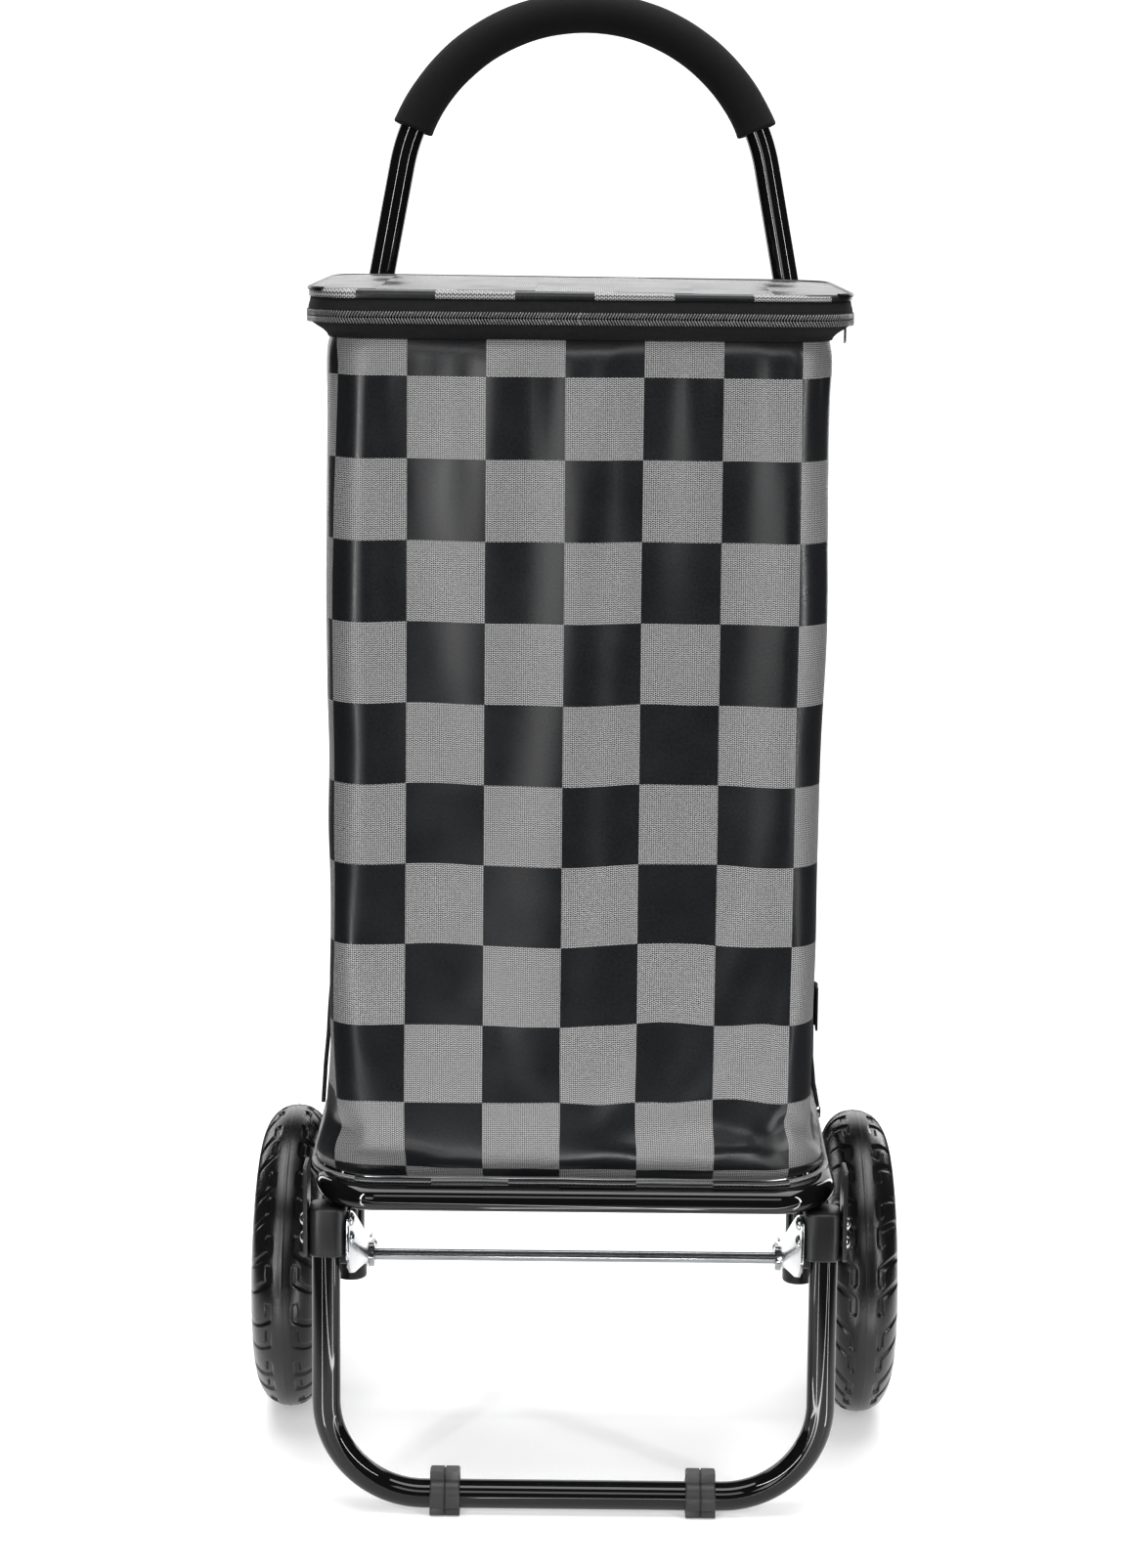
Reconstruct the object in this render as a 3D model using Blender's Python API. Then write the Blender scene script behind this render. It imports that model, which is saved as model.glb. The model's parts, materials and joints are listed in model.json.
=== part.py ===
"""A two-wheeled shopping trolley: a leaning handle frame, a folding tray, a standing foot and a zipped bag.

X runs to the trolley's left-hand side as seen from behind, Y runs from the front of the bag
towards the handle, and Z runs up. The origin is on the ground, under the middle of the trolley.
"""

import math

import bmesh
import bpy
from mathutils import Matrix, Vector

# ---------------------------------------------------------------- overall sizes, in metres
OVERALL_HEIGHT = 0.968  # ground to the top of the grip
FRAME_HALF = 0.1565  # middle plane to the centre of a leg, an upright or a tray rail
AXLE_BEHIND_LEGS = 0.179
UPRIGHT_BEHIND_AXLE = 0.030  # measured at the axle's height
LEAN = math.radians(4.5)  # of the handle frame, backwards

# ---------------------------------------------------------------- tubes and the handle
FRAME_TUBE = 0.018
FRAME_WALL = 0.0012
TRAY_TUBE = 0.016
TRAY_WALL = 0.0012
UPRIGHT_BELOW_AXLE = 0.024
CAP_FLOOR = 0.003
CAP_WALL = 0.0015
CAP_HEIGHT = 0.016
CAP_EDGE = 0.001
ARCH_RADIUS = 0.1276  # of the handle's top, to the tube's centre
HANDLE_INWARD = math.radians(10.2)
HANDLE_BEND_RADIUS = 0.080
GRIP_DIAMETER = 0.0286
GRIP_START = math.radians(21.7)  # where the foam starts, up from the arch's level diameter
BRACE_HEIGHT = 0.450
BRACE_TUBE = 0.014

# ---------------------------------------------------------------- wheels and axle
WHEEL_DIAMETER = 0.203
TYRE_WIDTH = 0.045
TYRE_DEPTH = 0.0295  # tread to bore
BEAD_SHARE = 0.76  # of the tyre's width, across its beads
LIP_HEIGHT = 0.0025
LIP_THICKNESS = 0.0018
RIM_WALL = 0.004
RIM_DISH = 0.003  # how far the disc thickens into the barrel
HUB_FLARE = 0.004  # and into the hub
SPOKE_WIDTH = 0.013
WINDOW_MARGIN = 0.009
HUB_STANDOFF = 0.0365  # leg centre to wheel centre, sideways
HUB_HALF = 0.016
HUB_RADIUS = 0.014
BUSH_RADIUS = 0.0080
BUSH_LENGTH = 0.010
BUSH_FLANGE = 0.0105
BUSH_FLANGE_THICKNESS = 0.0012
SPOKES = 6
DISC_THICKNESS = 0.007
AXLE_DIAMETER = 0.008
SPACER_RADIUS = 0.0070
WASHER_RADIUS = 0.0100
WASHER_THICKNESS = 0.0012
NUT_RADIUS = 0.0075
NUT_LENGTH = 0.0022
NUT_CHAMFER = 0.0012
AXLE_IN_NUT = 0.8  # share of the nut that the axle fills
HUB_CAP_BORE = 0.0162
HUB_CAP_WALL = 0.0016
HUB_CAP_GRIP = 0.004  # length of hub inside the cap
HUB_CAP_DOME = 0.003

# ---------------------------------------------------------------- foot
FOOT_BEND_RADIUS = 0.062
FOOT_PAD = 0.0015  # the clip's floor, which lifts the tube off the ground
CLIP_PLACE = 0.857  # of the way from the middle to where the foot starts to bend
CLIP_WIDTH = 0.019
CLIP_WALL = 0.0022
CLIP_RIB_HEIGHT = 0.0075
CLIP_RIB_WIDTH = 0.009
CLIP_PAD_SHARE = 0.80  # of the clip's width, where it stands on the ground
SLEEVE_WALL_OUT = 0.0012  # round the leg, on its outer side
SLEEVE_WALL_IN = 0.0037  # on its inner side
SLEEVE_WALL_DEEP = 0.00245  # in front of it and behind it
SLEEVE_LENGTH = 0.0310
SLEEVE_ROOF = 0.002
SLEEVE_CORNER = 0.008
STOP_THICKNESS = 0.0028
STOP_ABOVE_RAIL = 0.0110
PLATE_THICKNESS = 0.0020
PLATE_FRONT_HEIGHT = 0.0220
PLATE_DROP = 0.0060  # plate's front corner under the lower rivet
PLATE_TAIL = 0.0080  # plate behind the upright's rivet
PLATE_RIVET_DROP = 0.0040  # that rivet under the axle
KNUCKLE_RADIUS = 0.0085
KNUCKLE_PROUD = 0.0032
RIVET_RADIUS = 0.0025
RIVET_HEAD_RADIUS = 0.0042
RIVET_HEAD = 0.0026
RIVET_PITCH = 0.0120

# ---------------------------------------------------------------- tray
TRAY_HEIGHT = 0.209  # ground to the rail's centre
TRAY_AHEAD = 0.010  # front rail ahead of the legs
TRAY_CORNER_RADIUS = 0.032
HINGE_AHEAD = 0.045  # tray hinge ahead of the uprights
TRAY_BAR = 0.010
TRAY_BAR_COUNT = 3
FIRST_BAR = 0.065  # behind the front rail
LAST_BAR = 0.020  # ahead of the hinge
EAR_THICKNESS = 0.0025
EAR_HALF_HEIGHT = 0.0078
PIN_RADIUS = 0.0030
PIN_HEAD = 0.0023  # the head's thickness, and how far it reaches past the pin

# ---------------------------------------------------------------- bag
BAG_HEIGHT = 0.524
BAG_BOTTOM_PROUD = 0.0065  # bag's side outside the frame's centre line, at the bottom
BAG_TOP_PROUD = -0.0015
BAG_BOTTOM_SETBACK = 0.005  # bag's front behind the legs' centre plane, at the bottom
BAG_TOP_SETBACK = 0.009
BAG_STANDOFF = 0.0045  # bag's back ahead of the uprights, at the bottom
BAG_WALL = 0.003
BAG_CORNER = 0.020
LID_PROUD = 0.0105  # lid's side outside the frame's centre line
LID_SETBACK = 0.0005  # lid's front behind the legs' centre plane
LID_THICKNESS = 0.0050
LID_SWING = 0.0145  # uprights to the lid's rear edge: room to swing it upright
LID_CORNER = 0.034
LOWER_TAPE_HEIGHT = 0.0155
UPPER_TAPE_HEIGHT = 0.0110
TAPE_WALL = 0.0030
TEETH_HEIGHT = 0.0030
TEETH_PROUD = 0.0014
BOARD_THICKNESS = 0.004
BOARD_MARGIN = 0.012
BOARD_SIDE_GAP = 0.004
BOARD_CORNER = 0.020
STRAP_WALL = 0.0018
STRAP_SLACK = 0.0006  # between the tube and the webbing, past the gap
STRAP_SHOULDER = 1.6  # how soon the loop's front half reaches the bag
STRAP_SIDES = 24
STRAP_HEIGHT = 0.030
STRAP_ABOVE_FLOOR = 0.052  # lower loops, from the bag's bottom to their middle
STRAP_BELOW_BEND = 0.045  # upper loops, under the height where the uprights turn inwards

# ---------------------------------------------------------------- zip slider
SLIDER_LENGTH = 0.012
SLIDER_HEIGHT = 0.009
SLIDER_PLATE = 0.0020
POST_THICKNESS = 0.0014
BAIL_RADIUS = 0.0009
PULLER_BORE = 0.0013
PULLER_BARREL = 0.0021
PULLER_LENGTH = 0.024
PULLER_THICKNESS = 0.0012
SLIDER_FROM_REAR = 0.030
POST_HALF_HEIGHT = 0.0016  # and its reach past the bridge
POST_INSET = 0.0002
PULLER_PLAY = 0.0006  # between the pull's barrel and a post

# ---------------------------------------------------------------- clearances
GAP = 0.0003  # between pieces that touch
RUNNING_GAP = 0.00025  # round a pin or an axle
CUT_PAST = 0.010  # how far a cutter runs past the wall that it cuts
SIDES = 16
TYRE_SIDES = 40
RIM_SIDES = 28
ARC_STEPS = 5
ARCH_STEPS = 16

# ---------------------------------------------------------------- places worked out from the sizes
WHEEL_RADIUS = WHEEL_DIAMETER / 2
TYRE_BORE_RADIUS = WHEEL_RADIUS - TYRE_DEPTH
AXLE_Z = WHEEL_RADIUS
TUBE_R = FRAME_TUBE / 2
RAIL_R = TRAY_TUBE / 2
GRIP_R = GRIP_DIAMETER / 2
FRONT_REACH = TRAY_AHEAD + RAIL_R
ARCH_TOP_Z = OVERALL_HEIGHT - GRIP_R
ARCH_TOP_BACK = AXLE_BEHIND_LEGS + UPRIGHT_BEHIND_AXLE + (ARCH_TOP_Z - AXLE_Z) * math.tan(LEAN)
BACK_REACH = max(AXLE_BEHIND_LEGS + WHEEL_RADIUS, ARCH_TOP_BACK + GRIP_R)
LEG_Y = (FRONT_REACH - BACK_REACH) / 2
AXLE_Y = LEG_Y + AXLE_BEHIND_LEGS
UPRIGHT_Y = AXLE_Y + UPRIGHT_BEHIND_AXLE
WHEEL_X = FRAME_HALF + HUB_STANDOFF
LID_HALF = FRAME_HALF + LID_PROUD
RAIL_TOP = TRAY_HEIGHT + RAIL_R
SLEEVE_TOP = TRAY_HEIGHT - RAIL_R - GAP
SLEEVE_BOTTOM = SLEEVE_TOP - SLEEVE_LENGTH
BAG_BOTTOM = RAIL_TOP + GAP
BAG_TOP = BAG_BOTTOM + BAG_HEIGHT
TAPE_BOTTOM = BAG_TOP + GAP
TAPE_MIDDLE = TAPE_BOTTOM + LOWER_TAPE_HEIGHT
LID_BOTTOM = TAPE_MIDDLE + 2 * GAP + UPPER_TAPE_HEIGHT
FOOT_Z = FOOT_PAD + GAP + TUBE_R
SLEEVE_OUT = TUBE_R + GAP + SLEEVE_WALL_OUT
SLEEVE_IN = TUBE_R + GAP + SLEEVE_WALL_IN
SLEEVE_DEPTH = 2 * (TUBE_R + GAP + SLEEVE_WALL_DEEP)
PLATE_X = FRAME_HALF - SLEEVE_IN - GAP - PLATE_THICKNESS
STOP_X = FRAME_HALF + SLEEVE_OUT + GAP
RIVET_LOW = SLEEVE_BOTTOM + (SLEEVE_LENGTH - RIVET_PITCH) / 2
PLATE_RIVET_Z = AXLE_Z - PLATE_RIVET_DROP


def upright_y(z):
    """Where the leaning uprights' centre is at a height."""
    return UPRIGHT_Y + (z - AXLE_Z) * math.tan(LEAN)


TRAY_REAR_Y = upright_y(TRAY_HEIGHT) - HINGE_AHEAD
LID_REAR_Y = upright_y(LID_BOTTOM) - TUBE_R - LID_SWING
LID_FRONT_Y = LEG_Y + LID_SETBACK
EAR_X = FRAME_HALF - TUBE_R - GAP - EAR_THICKNESS


# ---------------------------------------------------------------- materials
def finish(name, colour, roughness, metallic=0.0):
    material = bpy.data.materials.new(name)
    material.use_nodes = True
    shader = material.node_tree.nodes["Principled BSDF"]
    shader.inputs["Base Color"].default_value = (*colour, 1.0)
    shader.inputs["Roughness"].default_value = roughness
    shader.inputs["Metallic"].default_value = metallic
    return material


# ---------------------------------------------------------------- mesh helpers
def place(name, bm, material, pivot=(0.0, 0.0, 0.0)):
    """Turns a bmesh in world space into a named object, with its origin on the pivot."""
    bmesh.ops.recalc_face_normals(bm, faces=bm.faces)
    if bm.calc_volume(signed=True) < 0:
        bmesh.ops.reverse_faces(bm, faces=bm.faces)
    bmesh.ops.translate(bm, verts=bm.verts, vec=-Vector(pivot))
    mesh = bpy.data.meshes.new(name)
    bm.to_mesh(mesh)
    bm.free()
    mesh.shade_smooth()
    mesh.set_sharp_from_angle(angle=math.radians(35))
    mesh.materials.append(material)
    obj = bpy.data.objects.new(name, mesh)
    obj.location = pivot
    bpy.context.scene.collection.objects.link(obj)
    return obj


def skin(bm, rings, loop=False):
    """Joins rings of equal count with quads; a loop also joins the last ring to the first."""
    made = [[bm.verts.new(point) for point in ring] for ring in rings]
    pairs = list(zip(made, made[1:]))
    if loop:
        pairs.append((made[-1], made[0]))
    for first, second in pairs:
        count = len(first)
        for i in range(count):
            j = (i + 1) % count
            bm.faces.new((first[i], first[j], second[j], second[i]))
    return made


def loft(rings):
    """A solid through rings of points, closed with flat ends."""
    bm = bmesh.new()
    made = skin(bm, rings)
    bm.faces.new(made[0])
    bm.faces.new(made[-1])
    return bm


def turned_loft(rings):
    """A solid whose rings come back round to the first, like a hollow tube's skin."""
    bm = bmesh.new()
    skin(bm, rings, loop=True)
    return bm


def circle(centre, across, up, radius, sides=SIDES):
    """Points of a circle that spans two unit directions."""
    turns = [math.tau * i / sides for i in range(sides)]
    return [centre + (across * math.cos(t) + up * math.sin(t)) * radius for t in turns]


def rounded_path(corners, radii, steps=ARC_STEPS):
    """A route through the corners, each rounded to its radius. End corners have no radius."""
    points = [corners[0]]
    for before, here, after, radius in zip(corners, corners[1:], corners[2:], radii):
        back = (before - here).normalized()
        ahead = (after - here).normalized()
        half = back.angle(ahead) / 2
        centre = here + (back + ahead).normalized() * (radius / math.sin(half))
        start = here + back * (radius / math.tan(half)) - centre
        axis = back.cross(ahead)
        turn = -(math.pi - 2 * half)
        for i in range(steps + 1):
            points.append(centre + Matrix.Rotation(turn * i / steps, 3, axis) @ start)
    points.append(corners[-1])
    return points


def path_rings(path, normal, radius, sides=SIDES):
    """Circles square to a flat path; the normal is square to the plane that the path lies in."""
    rings = []
    for i, point in enumerate(path):
        incoming = (point - path[i - 1]).normalized() if i else Vector()
        outgoing = (path[i + 1] - point).normalized() if i + 1 < len(path) else Vector()
        along = (incoming + outgoing).normalized()
        stretch = 1.0
        if i and i + 1 < len(path):
            stretch = 1 / math.cos(incoming.angle(outgoing) / 2)
        across = along.cross(normal)
        turns = [math.tau * k / sides for k in range(sides)]
        rings.append(
            [
                point + across * (math.cos(t) * radius * stretch) + normal * (math.sin(t) * radius)
                for t in turns
            ]
        )
    return rings


def hollow_tube(path, normal, radius, wall):
    """An open-ended bent tube."""
    outer = path_rings(path, normal, radius)
    inner = path_rings(path, normal, radius - wall)
    return turned_loft(outer + inner[::-1])


def rod(start, end, radius, sides=SIDES):
    """A solid round bar between two points."""
    along = (end - start).normalized()
    across = along.orthogonal().normalized()
    up = along.cross(across)
    return loft([circle(start, across, up, radius, sides), circle(end, across, up, radius, sides)])


def bar(low, high):
    """A solid block between two corners."""
    (x0, y0, z0), (x1, y1, z1) = low, high
    base = [(x0, y0), (x1, y0), (x1, y1), (x0, y1)]
    return loft([[Vector((x, y, z)) for x, y in base] for z in (z0, z1)])


def turned(profile, centre, sides=SIDES):
    """A ring turned about the X axis through a centre, from a closed outline of (x, radius)."""
    across, up = Vector((0, 1, 0)), Vector((0, 0, 1))
    return turned_loft(
        [circle(centre + Vector((x, 0, 0)), across, up, radius, sides) for x, radius in profile]
    )


def plate(outline, x0, x1):
    """A flat plate that stands across X, from an outline of (y, z)."""
    return loft([[Vector((x, y, z)) for y, z in outline] for x in (x0, x1)])


def rounded_rectangle(half_width, front, back, corner, z, steps=4):
    """A level ring of points round a rectangle with rounded corners."""
    centres = (
        (half_width - corner, back - corner, 0.0),
        (-half_width + corner, back - corner, 0.25),
        (-half_width + corner, front + corner, 0.50),
        (half_width - corner, front + corner, 0.75),
    )
    ring = []
    for x, y, start in centres:
        for i in range(steps + 1):
            turn = math.tau * (start + 0.25 * i / steps)
            ring.append(Vector((x + corner * math.cos(turn), y + corner * math.sin(turn), z)))
    return ring


def cut(target, bm, name):
    """Takes a bmesh's shape out of an object."""
    bmesh.ops.recalc_face_normals(bm, faces=bm.faces)
    mesh = bpy.data.meshes.new(name)
    bm.to_mesh(mesh)
    bm.free()
    cutter = bpy.data.objects.new(name, mesh)
    cutter.hide_render = True
    cutter.display_type = "WIRE"
    bpy.context.scene.collection.objects.link(cutter)
    cutter.parent = target
    cutter.matrix_parent_inverse = Matrix.Translation(target.location).inverted()
    modifier = target.modifiers.new(name, "BOOLEAN")
    modifier.operation = "DIFFERENCE"
    modifier.solver = "EXACT"
    modifier.object = cutter


def join(target, bm, name):
    """Welds a bmesh's shape, which overlaps it clearly, onto an object."""
    cut(target, bm, name)
    target.modifiers[name].operation = "UNION"


def drill(target, y, z, radius, x0, x1, sides=12):
    """A round hole along X."""
    shape = rod(Vector((x0, y, z)), Vector((x1, y, z)), radius, sides)
    cut(target, shape, f"{target.name}_hole_{len(target.modifiers)}")


def past_tube(side):
    """The X range of a drill that goes right through one side's tube, and no further."""
    return sorted((side * (FRAME_HALF - 2 * TUBE_R), side * (FRAME_HALF + 2 * TUBE_R)))


def sides_of(name):
    """The two mirrored copies of a piece: its name and which way X runs."""
    return ((f"{name}_left", -1.0), (f"{name}_right", 1.0))


# ---------------------------------------------------------------- handle frame
def frame_point(x, along):
    """A point in the leaning plane: x across, along measured up the uprights from the axle."""
    return Vector((x, UPRIGHT_Y + along * math.sin(LEAN), AXLE_Z + along * math.cos(LEAN)))


ARCH_TOP_ALONG = (ARCH_TOP_Z - AXLE_Z) / math.cos(LEAN)
ARCH_CENTRE_ALONG = ARCH_TOP_ALONG - ARCH_RADIUS
APEX_ALONG = ARCH_CENTRE_ALONG + ARCH_RADIUS / math.sin(HANDLE_INWARD)
BEND_ALONG = APEX_ALONG - FRAME_HALF / math.tan(HANDLE_INWARD)
UPRIGHT_FOOT_ALONG = -UPRIGHT_BELOW_AXLE
FRAME_NORMAL = Vector((0, math.cos(LEAN), -math.sin(LEAN)))


def make_handle_frame(paint):
    """One tube: up, inwards, over the arch and down again."""
    corners = [
        frame_point(-FRAME_HALF, UPRIGHT_FOOT_ALONG),
        frame_point(-FRAME_HALF, BEND_ALONG),
        frame_point(0, APEX_ALONG),
        frame_point(FRAME_HALF, BEND_ALONG),
        frame_point(FRAME_HALF, UPRIGHT_FOOT_ALONG),
    ]
    side = rounded_path(corners[:3], [HANDLE_BEND_RADIUS], steps=3)[:-1]
    arch = rounded_path(corners[1:4], [ARCH_RADIUS], steps=ARCH_STEPS)[1:-1]
    other = [Vector((-p.x, p.y, p.z)) for p in side[::-1]]
    tube = hollow_tube(side + arch + other, FRAME_NORMAL, TUBE_R, FRAME_WALL)
    obj = place("handle_frame", tube, paint)
    for end in (-1.0, 1.0):
        for z in (TRAY_HEIGHT, PLATE_RIVET_Z):
            drill(obj, upright_y(z), z, RIVET_RADIUS + GAP, *past_tube(end))


def make_grip(foam):
    """A foam sleeve round the arch."""
    count = ARCH_STEPS - 2
    path = []
    for i in range(count + 1):
        turn = GRIP_START + (math.pi - 2 * GRIP_START) * i / count
        along = ARCH_CENTRE_ALONG + ARCH_RADIUS * math.sin(turn)
        path.append(frame_point(-ARCH_RADIUS * math.cos(turn), along))
    place("handle_grip", hollow_tube(path, FRAME_NORMAL, GRIP_R, GRIP_R - TUBE_R - GAP), foam)


def make_upright_caps(plastic):
    """Cups that close the uprights' lower ends, with the tube standing inside."""
    for name, side in sides_of("upright_cap"):
        foot = frame_point(side * FRAME_HALF, UPRIGHT_FOOT_ALONG - GAP)
        up = Vector((0, math.sin(LEAN), math.cos(LEAN)))
        across = Vector((1, 0, 0))
        outer, bore = TUBE_R + GAP + CAP_WALL, TUBE_R + GAP
        rings = [
            (foot + up * (CAP_HEIGHT - CAP_FLOOR), outer),
            (foot - up * (CAP_FLOOR - CAP_EDGE), outer),
            (foot - up * CAP_FLOOR, outer - CAP_EDGE),
        ]
        bm = bmesh.new()
        made = skin(bm, [circle(c, across, FRAME_NORMAL, r) for c, r in rings])
        inner = skin(
            bm,
            [
                circle(foot + up * (CAP_HEIGHT - CAP_FLOOR), across, FRAME_NORMAL, bore),
                circle(foot, across, FRAME_NORMAL, bore),
            ],
        )
        bm.faces.new(made[-1])
        bm.faces.new(inner[-1])
        for i in range(SIDES):
            j = (i + 1) % SIDES
            bm.faces.new((made[0][i], made[0][j], inner[0][j], inner[0][i]))
        place(name, bm, plastic)


def make_brace(paint):
    """A straight tube between the uprights, behind the bag."""
    y = upright_y(BRACE_HEIGHT)
    half = FRAME_HALF - TUBE_R - GAP
    path = [Vector((-half, y, BRACE_HEIGHT)), Vector((half, y, BRACE_HEIGHT))]
    place("cross_brace", hollow_tube(path, Vector((0, 1, 0)), BRACE_TUBE / 2, FRAME_WALL), paint)


# ---------------------------------------------------------------- foot
def make_foot(paint):
    """A U of tube, whose legs stand in the sleeves."""
    top = SLEEVE_TOP - SLEEVE_ROOF - GAP
    corners = [
        Vector((-FRAME_HALF, LEG_Y, top)),
        Vector((-FRAME_HALF, LEG_Y, FOOT_Z)),
        Vector((FRAME_HALF, LEG_Y, FOOT_Z)),
        Vector((FRAME_HALF, LEG_Y, top)),
    ]
    path = rounded_path(corners, [FOOT_BEND_RADIUS] * 2)
    obj = place("foot_frame", hollow_tube(path, Vector((0, 1, 0)), TUBE_R, FRAME_WALL), paint)
    for side in (-1.0, 1.0):
        for k in range(2):
            drill(obj, LEG_Y, RIVET_LOW + k * RIVET_PITCH, RIVET_RADIUS + GAP, *past_tube(side))


def make_sleeves(plastic):
    """Closed-top sockets that the legs push into, and that the tray's corners rest on."""
    for name, side in sides_of("leg_sleeve"):
        low, high = sorted((side * (FRAME_HALF - SLEEVE_IN), side * (FRAME_HALF + SLEEVE_OUT)))
        half = (high - low) / 2
        middle = Vector(((high + low) / 2, 0, 0))
        front, back = LEG_Y - SLEEVE_DEPTH / 2, LEG_Y + SLEEVE_DEPTH / 2
        rings = []
        for z in (SLEEVE_BOTTOM, SLEEVE_TOP):
            ring = rounded_rectangle(half, front, back, SLEEVE_CORNER, z)
            rings.append([point + middle for point in ring])
        obj = place(name, loft(rings), plastic)
        leg = Vector((side * FRAME_HALF, LEG_Y, 0))
        start = leg + Vector((0, 0, SLEEVE_BOTTOM - CUT_PAST))
        end = leg + Vector((0, 0, SLEEVE_TOP - SLEEVE_ROOF))
        cut(obj, rod(start, end, TUBE_R + GAP), f"{name}_socket")
        for k in range(2):
            height = RIVET_LOW + k * RIVET_PITCH
            drill(obj, LEG_Y, height, RIVET_RADIUS + GAP, low - CUT_PAST, high + CUT_PAST)


def make_stops(paint):
    """Flat plates outside the sleeves, which stand up beside the tray and keep it from slipping off."""
    half = SLEEVE_DEPTH / 2
    for name, side in sides_of("tray_stop"):
        x0, x1 = sorted((side * STOP_X, side * (STOP_X + STOP_THICKNESS)))
        top = RAIL_TOP + STOP_ABOVE_RAIL
        outline = [
            (LEG_Y - half, SLEEVE_BOTTOM),
            (LEG_Y + half, SLEEVE_BOTTOM),
            (LEG_Y + half, top),
            (LEG_Y - half, top),
        ]
        obj = place(name, plate(outline, x0, x1), paint)
        for k in range(2):
            height = RIVET_LOW + k * RIVET_PITCH
            drill(obj, LEG_Y, height, RIVET_RADIUS + GAP, x0 - CUT_PAST, x1 + CUT_PAST)


def make_side_plates(chrome):
    """Slanting arms from the sleeves back to the axle and on to the uprights."""
    low_front = RIVET_LOW - PLATE_DROP
    tail = PLATE_TAIL / 4
    rear_y = upright_y(PLATE_RIVET_Z)
    for name, side in sides_of("side_plate"):
        x0, x1 = sorted((side * PLATE_X, side * (PLATE_X + PLATE_THICKNESS)))
        outline = [
            (LEG_Y - SLEEVE_DEPTH / 2, low_front),
            (AXLE_Y - PLATE_RIVET_DROP, AXLE_Z - KNUCKLE_RADIUS),
            (rear_y + tail, PLATE_RIVET_Z - KNUCKLE_RADIUS),
            (rear_y + PLATE_TAIL, PLATE_RIVET_Z),
            (rear_y + tail, PLATE_RIVET_Z + KNUCKLE_RADIUS),
            (AXLE_Y, AXLE_Z + KNUCKLE_RADIUS),
            (LEG_Y + SLEEVE_DEPTH / 2, low_front + PLATE_FRONT_HEIGHT),
            (LEG_Y - SLEEVE_DEPTH / 2, low_front + PLATE_FRONT_HEIGHT),
        ]
        obj = place(name, plate(outline, x0, x1), chrome)
        boss = (side * (PLATE_X - KNUCKLE_PROUD), side * (PLATE_X + PLATE_THICKNESS / 2))
        start, end = (Vector((x, AXLE_Y, AXLE_Z)) for x in boss)
        join(obj, rod(start, end, KNUCKLE_RADIUS), f"{name}_knuckle")
        reach = (x0 - CUT_PAST, x1 + CUT_PAST)
        drill(obj, AXLE_Y, AXLE_Z, AXLE_DIAMETER / 2 + GAP, *reach)
        drill(obj, rear_y, PLATE_RIVET_Z, RIVET_RADIUS + GAP, *reach)
        for k in range(2):
            drill(obj, LEG_Y, RIVET_LOW + k * RIVET_PITCH, RIVET_RADIUS + GAP, *reach)


def make_rivet(name, y, z, inner, outer, side, metal):
    """A shank along X with a domed head at each end."""
    profile = [
        (inner - RIVET_HEAD, RIVET_HEAD_RADIUS * 0.45),
        (inner - RIVET_HEAD * 0.6, RIVET_HEAD_RADIUS * 0.85),
        (inner, RIVET_HEAD_RADIUS),
        (inner, RIVET_RADIUS),
        (outer, RIVET_RADIUS),
        (outer, RIVET_HEAD_RADIUS),
        (outer + RIVET_HEAD * 0.6, RIVET_HEAD_RADIUS * 0.85),
        (outer + RIVET_HEAD, RIVET_HEAD_RADIUS * 0.45),
    ]
    across, up = Vector((0, 1, 0)), Vector((0, 0, 1))
    rings = [circle(Vector((side * x, y, z)), across, up, r, 12) for x, r in profile]
    place(name, loft(rings), metal)


def make_rivets(metal):
    """Two rivets hold each sleeve, one holds each plate and one each ear to its upright."""
    inner = PLATE_X - GAP
    outer = STOP_X + STOP_THICKNESS + GAP
    upright_outer = FRAME_HALF + TUBE_R + GAP
    for name, side in sides_of("leg_rivet"):
        for k in range(2):
            height = RIVET_LOW + k * RIVET_PITCH
            make_rivet(f"{name}_{k + 1}", LEG_Y, height, inner, outer, side, metal)
    for name, side in sides_of("plate_rivet"):
        y = upright_y(PLATE_RIVET_Z)
        make_rivet(name, y, PLATE_RIVET_Z, inner, upright_outer, side, metal)
    for name, side in sides_of("ear_rivet"):
        y = upright_y(TRAY_HEIGHT)
        make_rivet(name, y, TRAY_HEIGHT, EAR_X - GAP, upright_outer, side, metal)


def make_foot_clips(plastic):
    """Clips round the foot tube: a flat pad on the ground and a rib on top."""
    wall = TUBE_R + GAP + CLIP_WALL
    rise = FOOT_Z + TUBE_R + CLIP_RIB_HEIGHT
    pad = wall * CLIP_PAD_SHARE
    start = math.asin(CLIP_RIB_WIDTH / 2 / wall)
    side_arc = []
    for i in range(7):
        turn = math.pi / 2 - start - (math.pi / 2 - start) * i / 6
        side_arc.append((wall * math.cos(turn), FOOT_Z + wall * math.sin(turn)))
    half = [(CLIP_RIB_WIDTH / 2, rise), *side_arc, (wall, FOOT_Z * 0.55), (pad, 0.0)]
    outline = [(LEG_Y + y, z) for y, z in half]
    outline += [(LEG_Y - y, z) for y, z in half[::-1]]
    for name, side in sides_of("foot_clip"):
        centre = side * (FRAME_HALF - FOOT_BEND_RADIUS) * CLIP_PLACE
        x0, x1 = centre - CLIP_WIDTH / 2, centre + CLIP_WIDTH / 2
        obj = place(name, plate(outline, x0, x1), plastic)
        reach = (x0 - CUT_PAST, x1 + CUT_PAST)
        drill(obj, LEG_Y, FOOT_Z, TUBE_R + GAP, *reach, sides=2 * SIDES)


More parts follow.
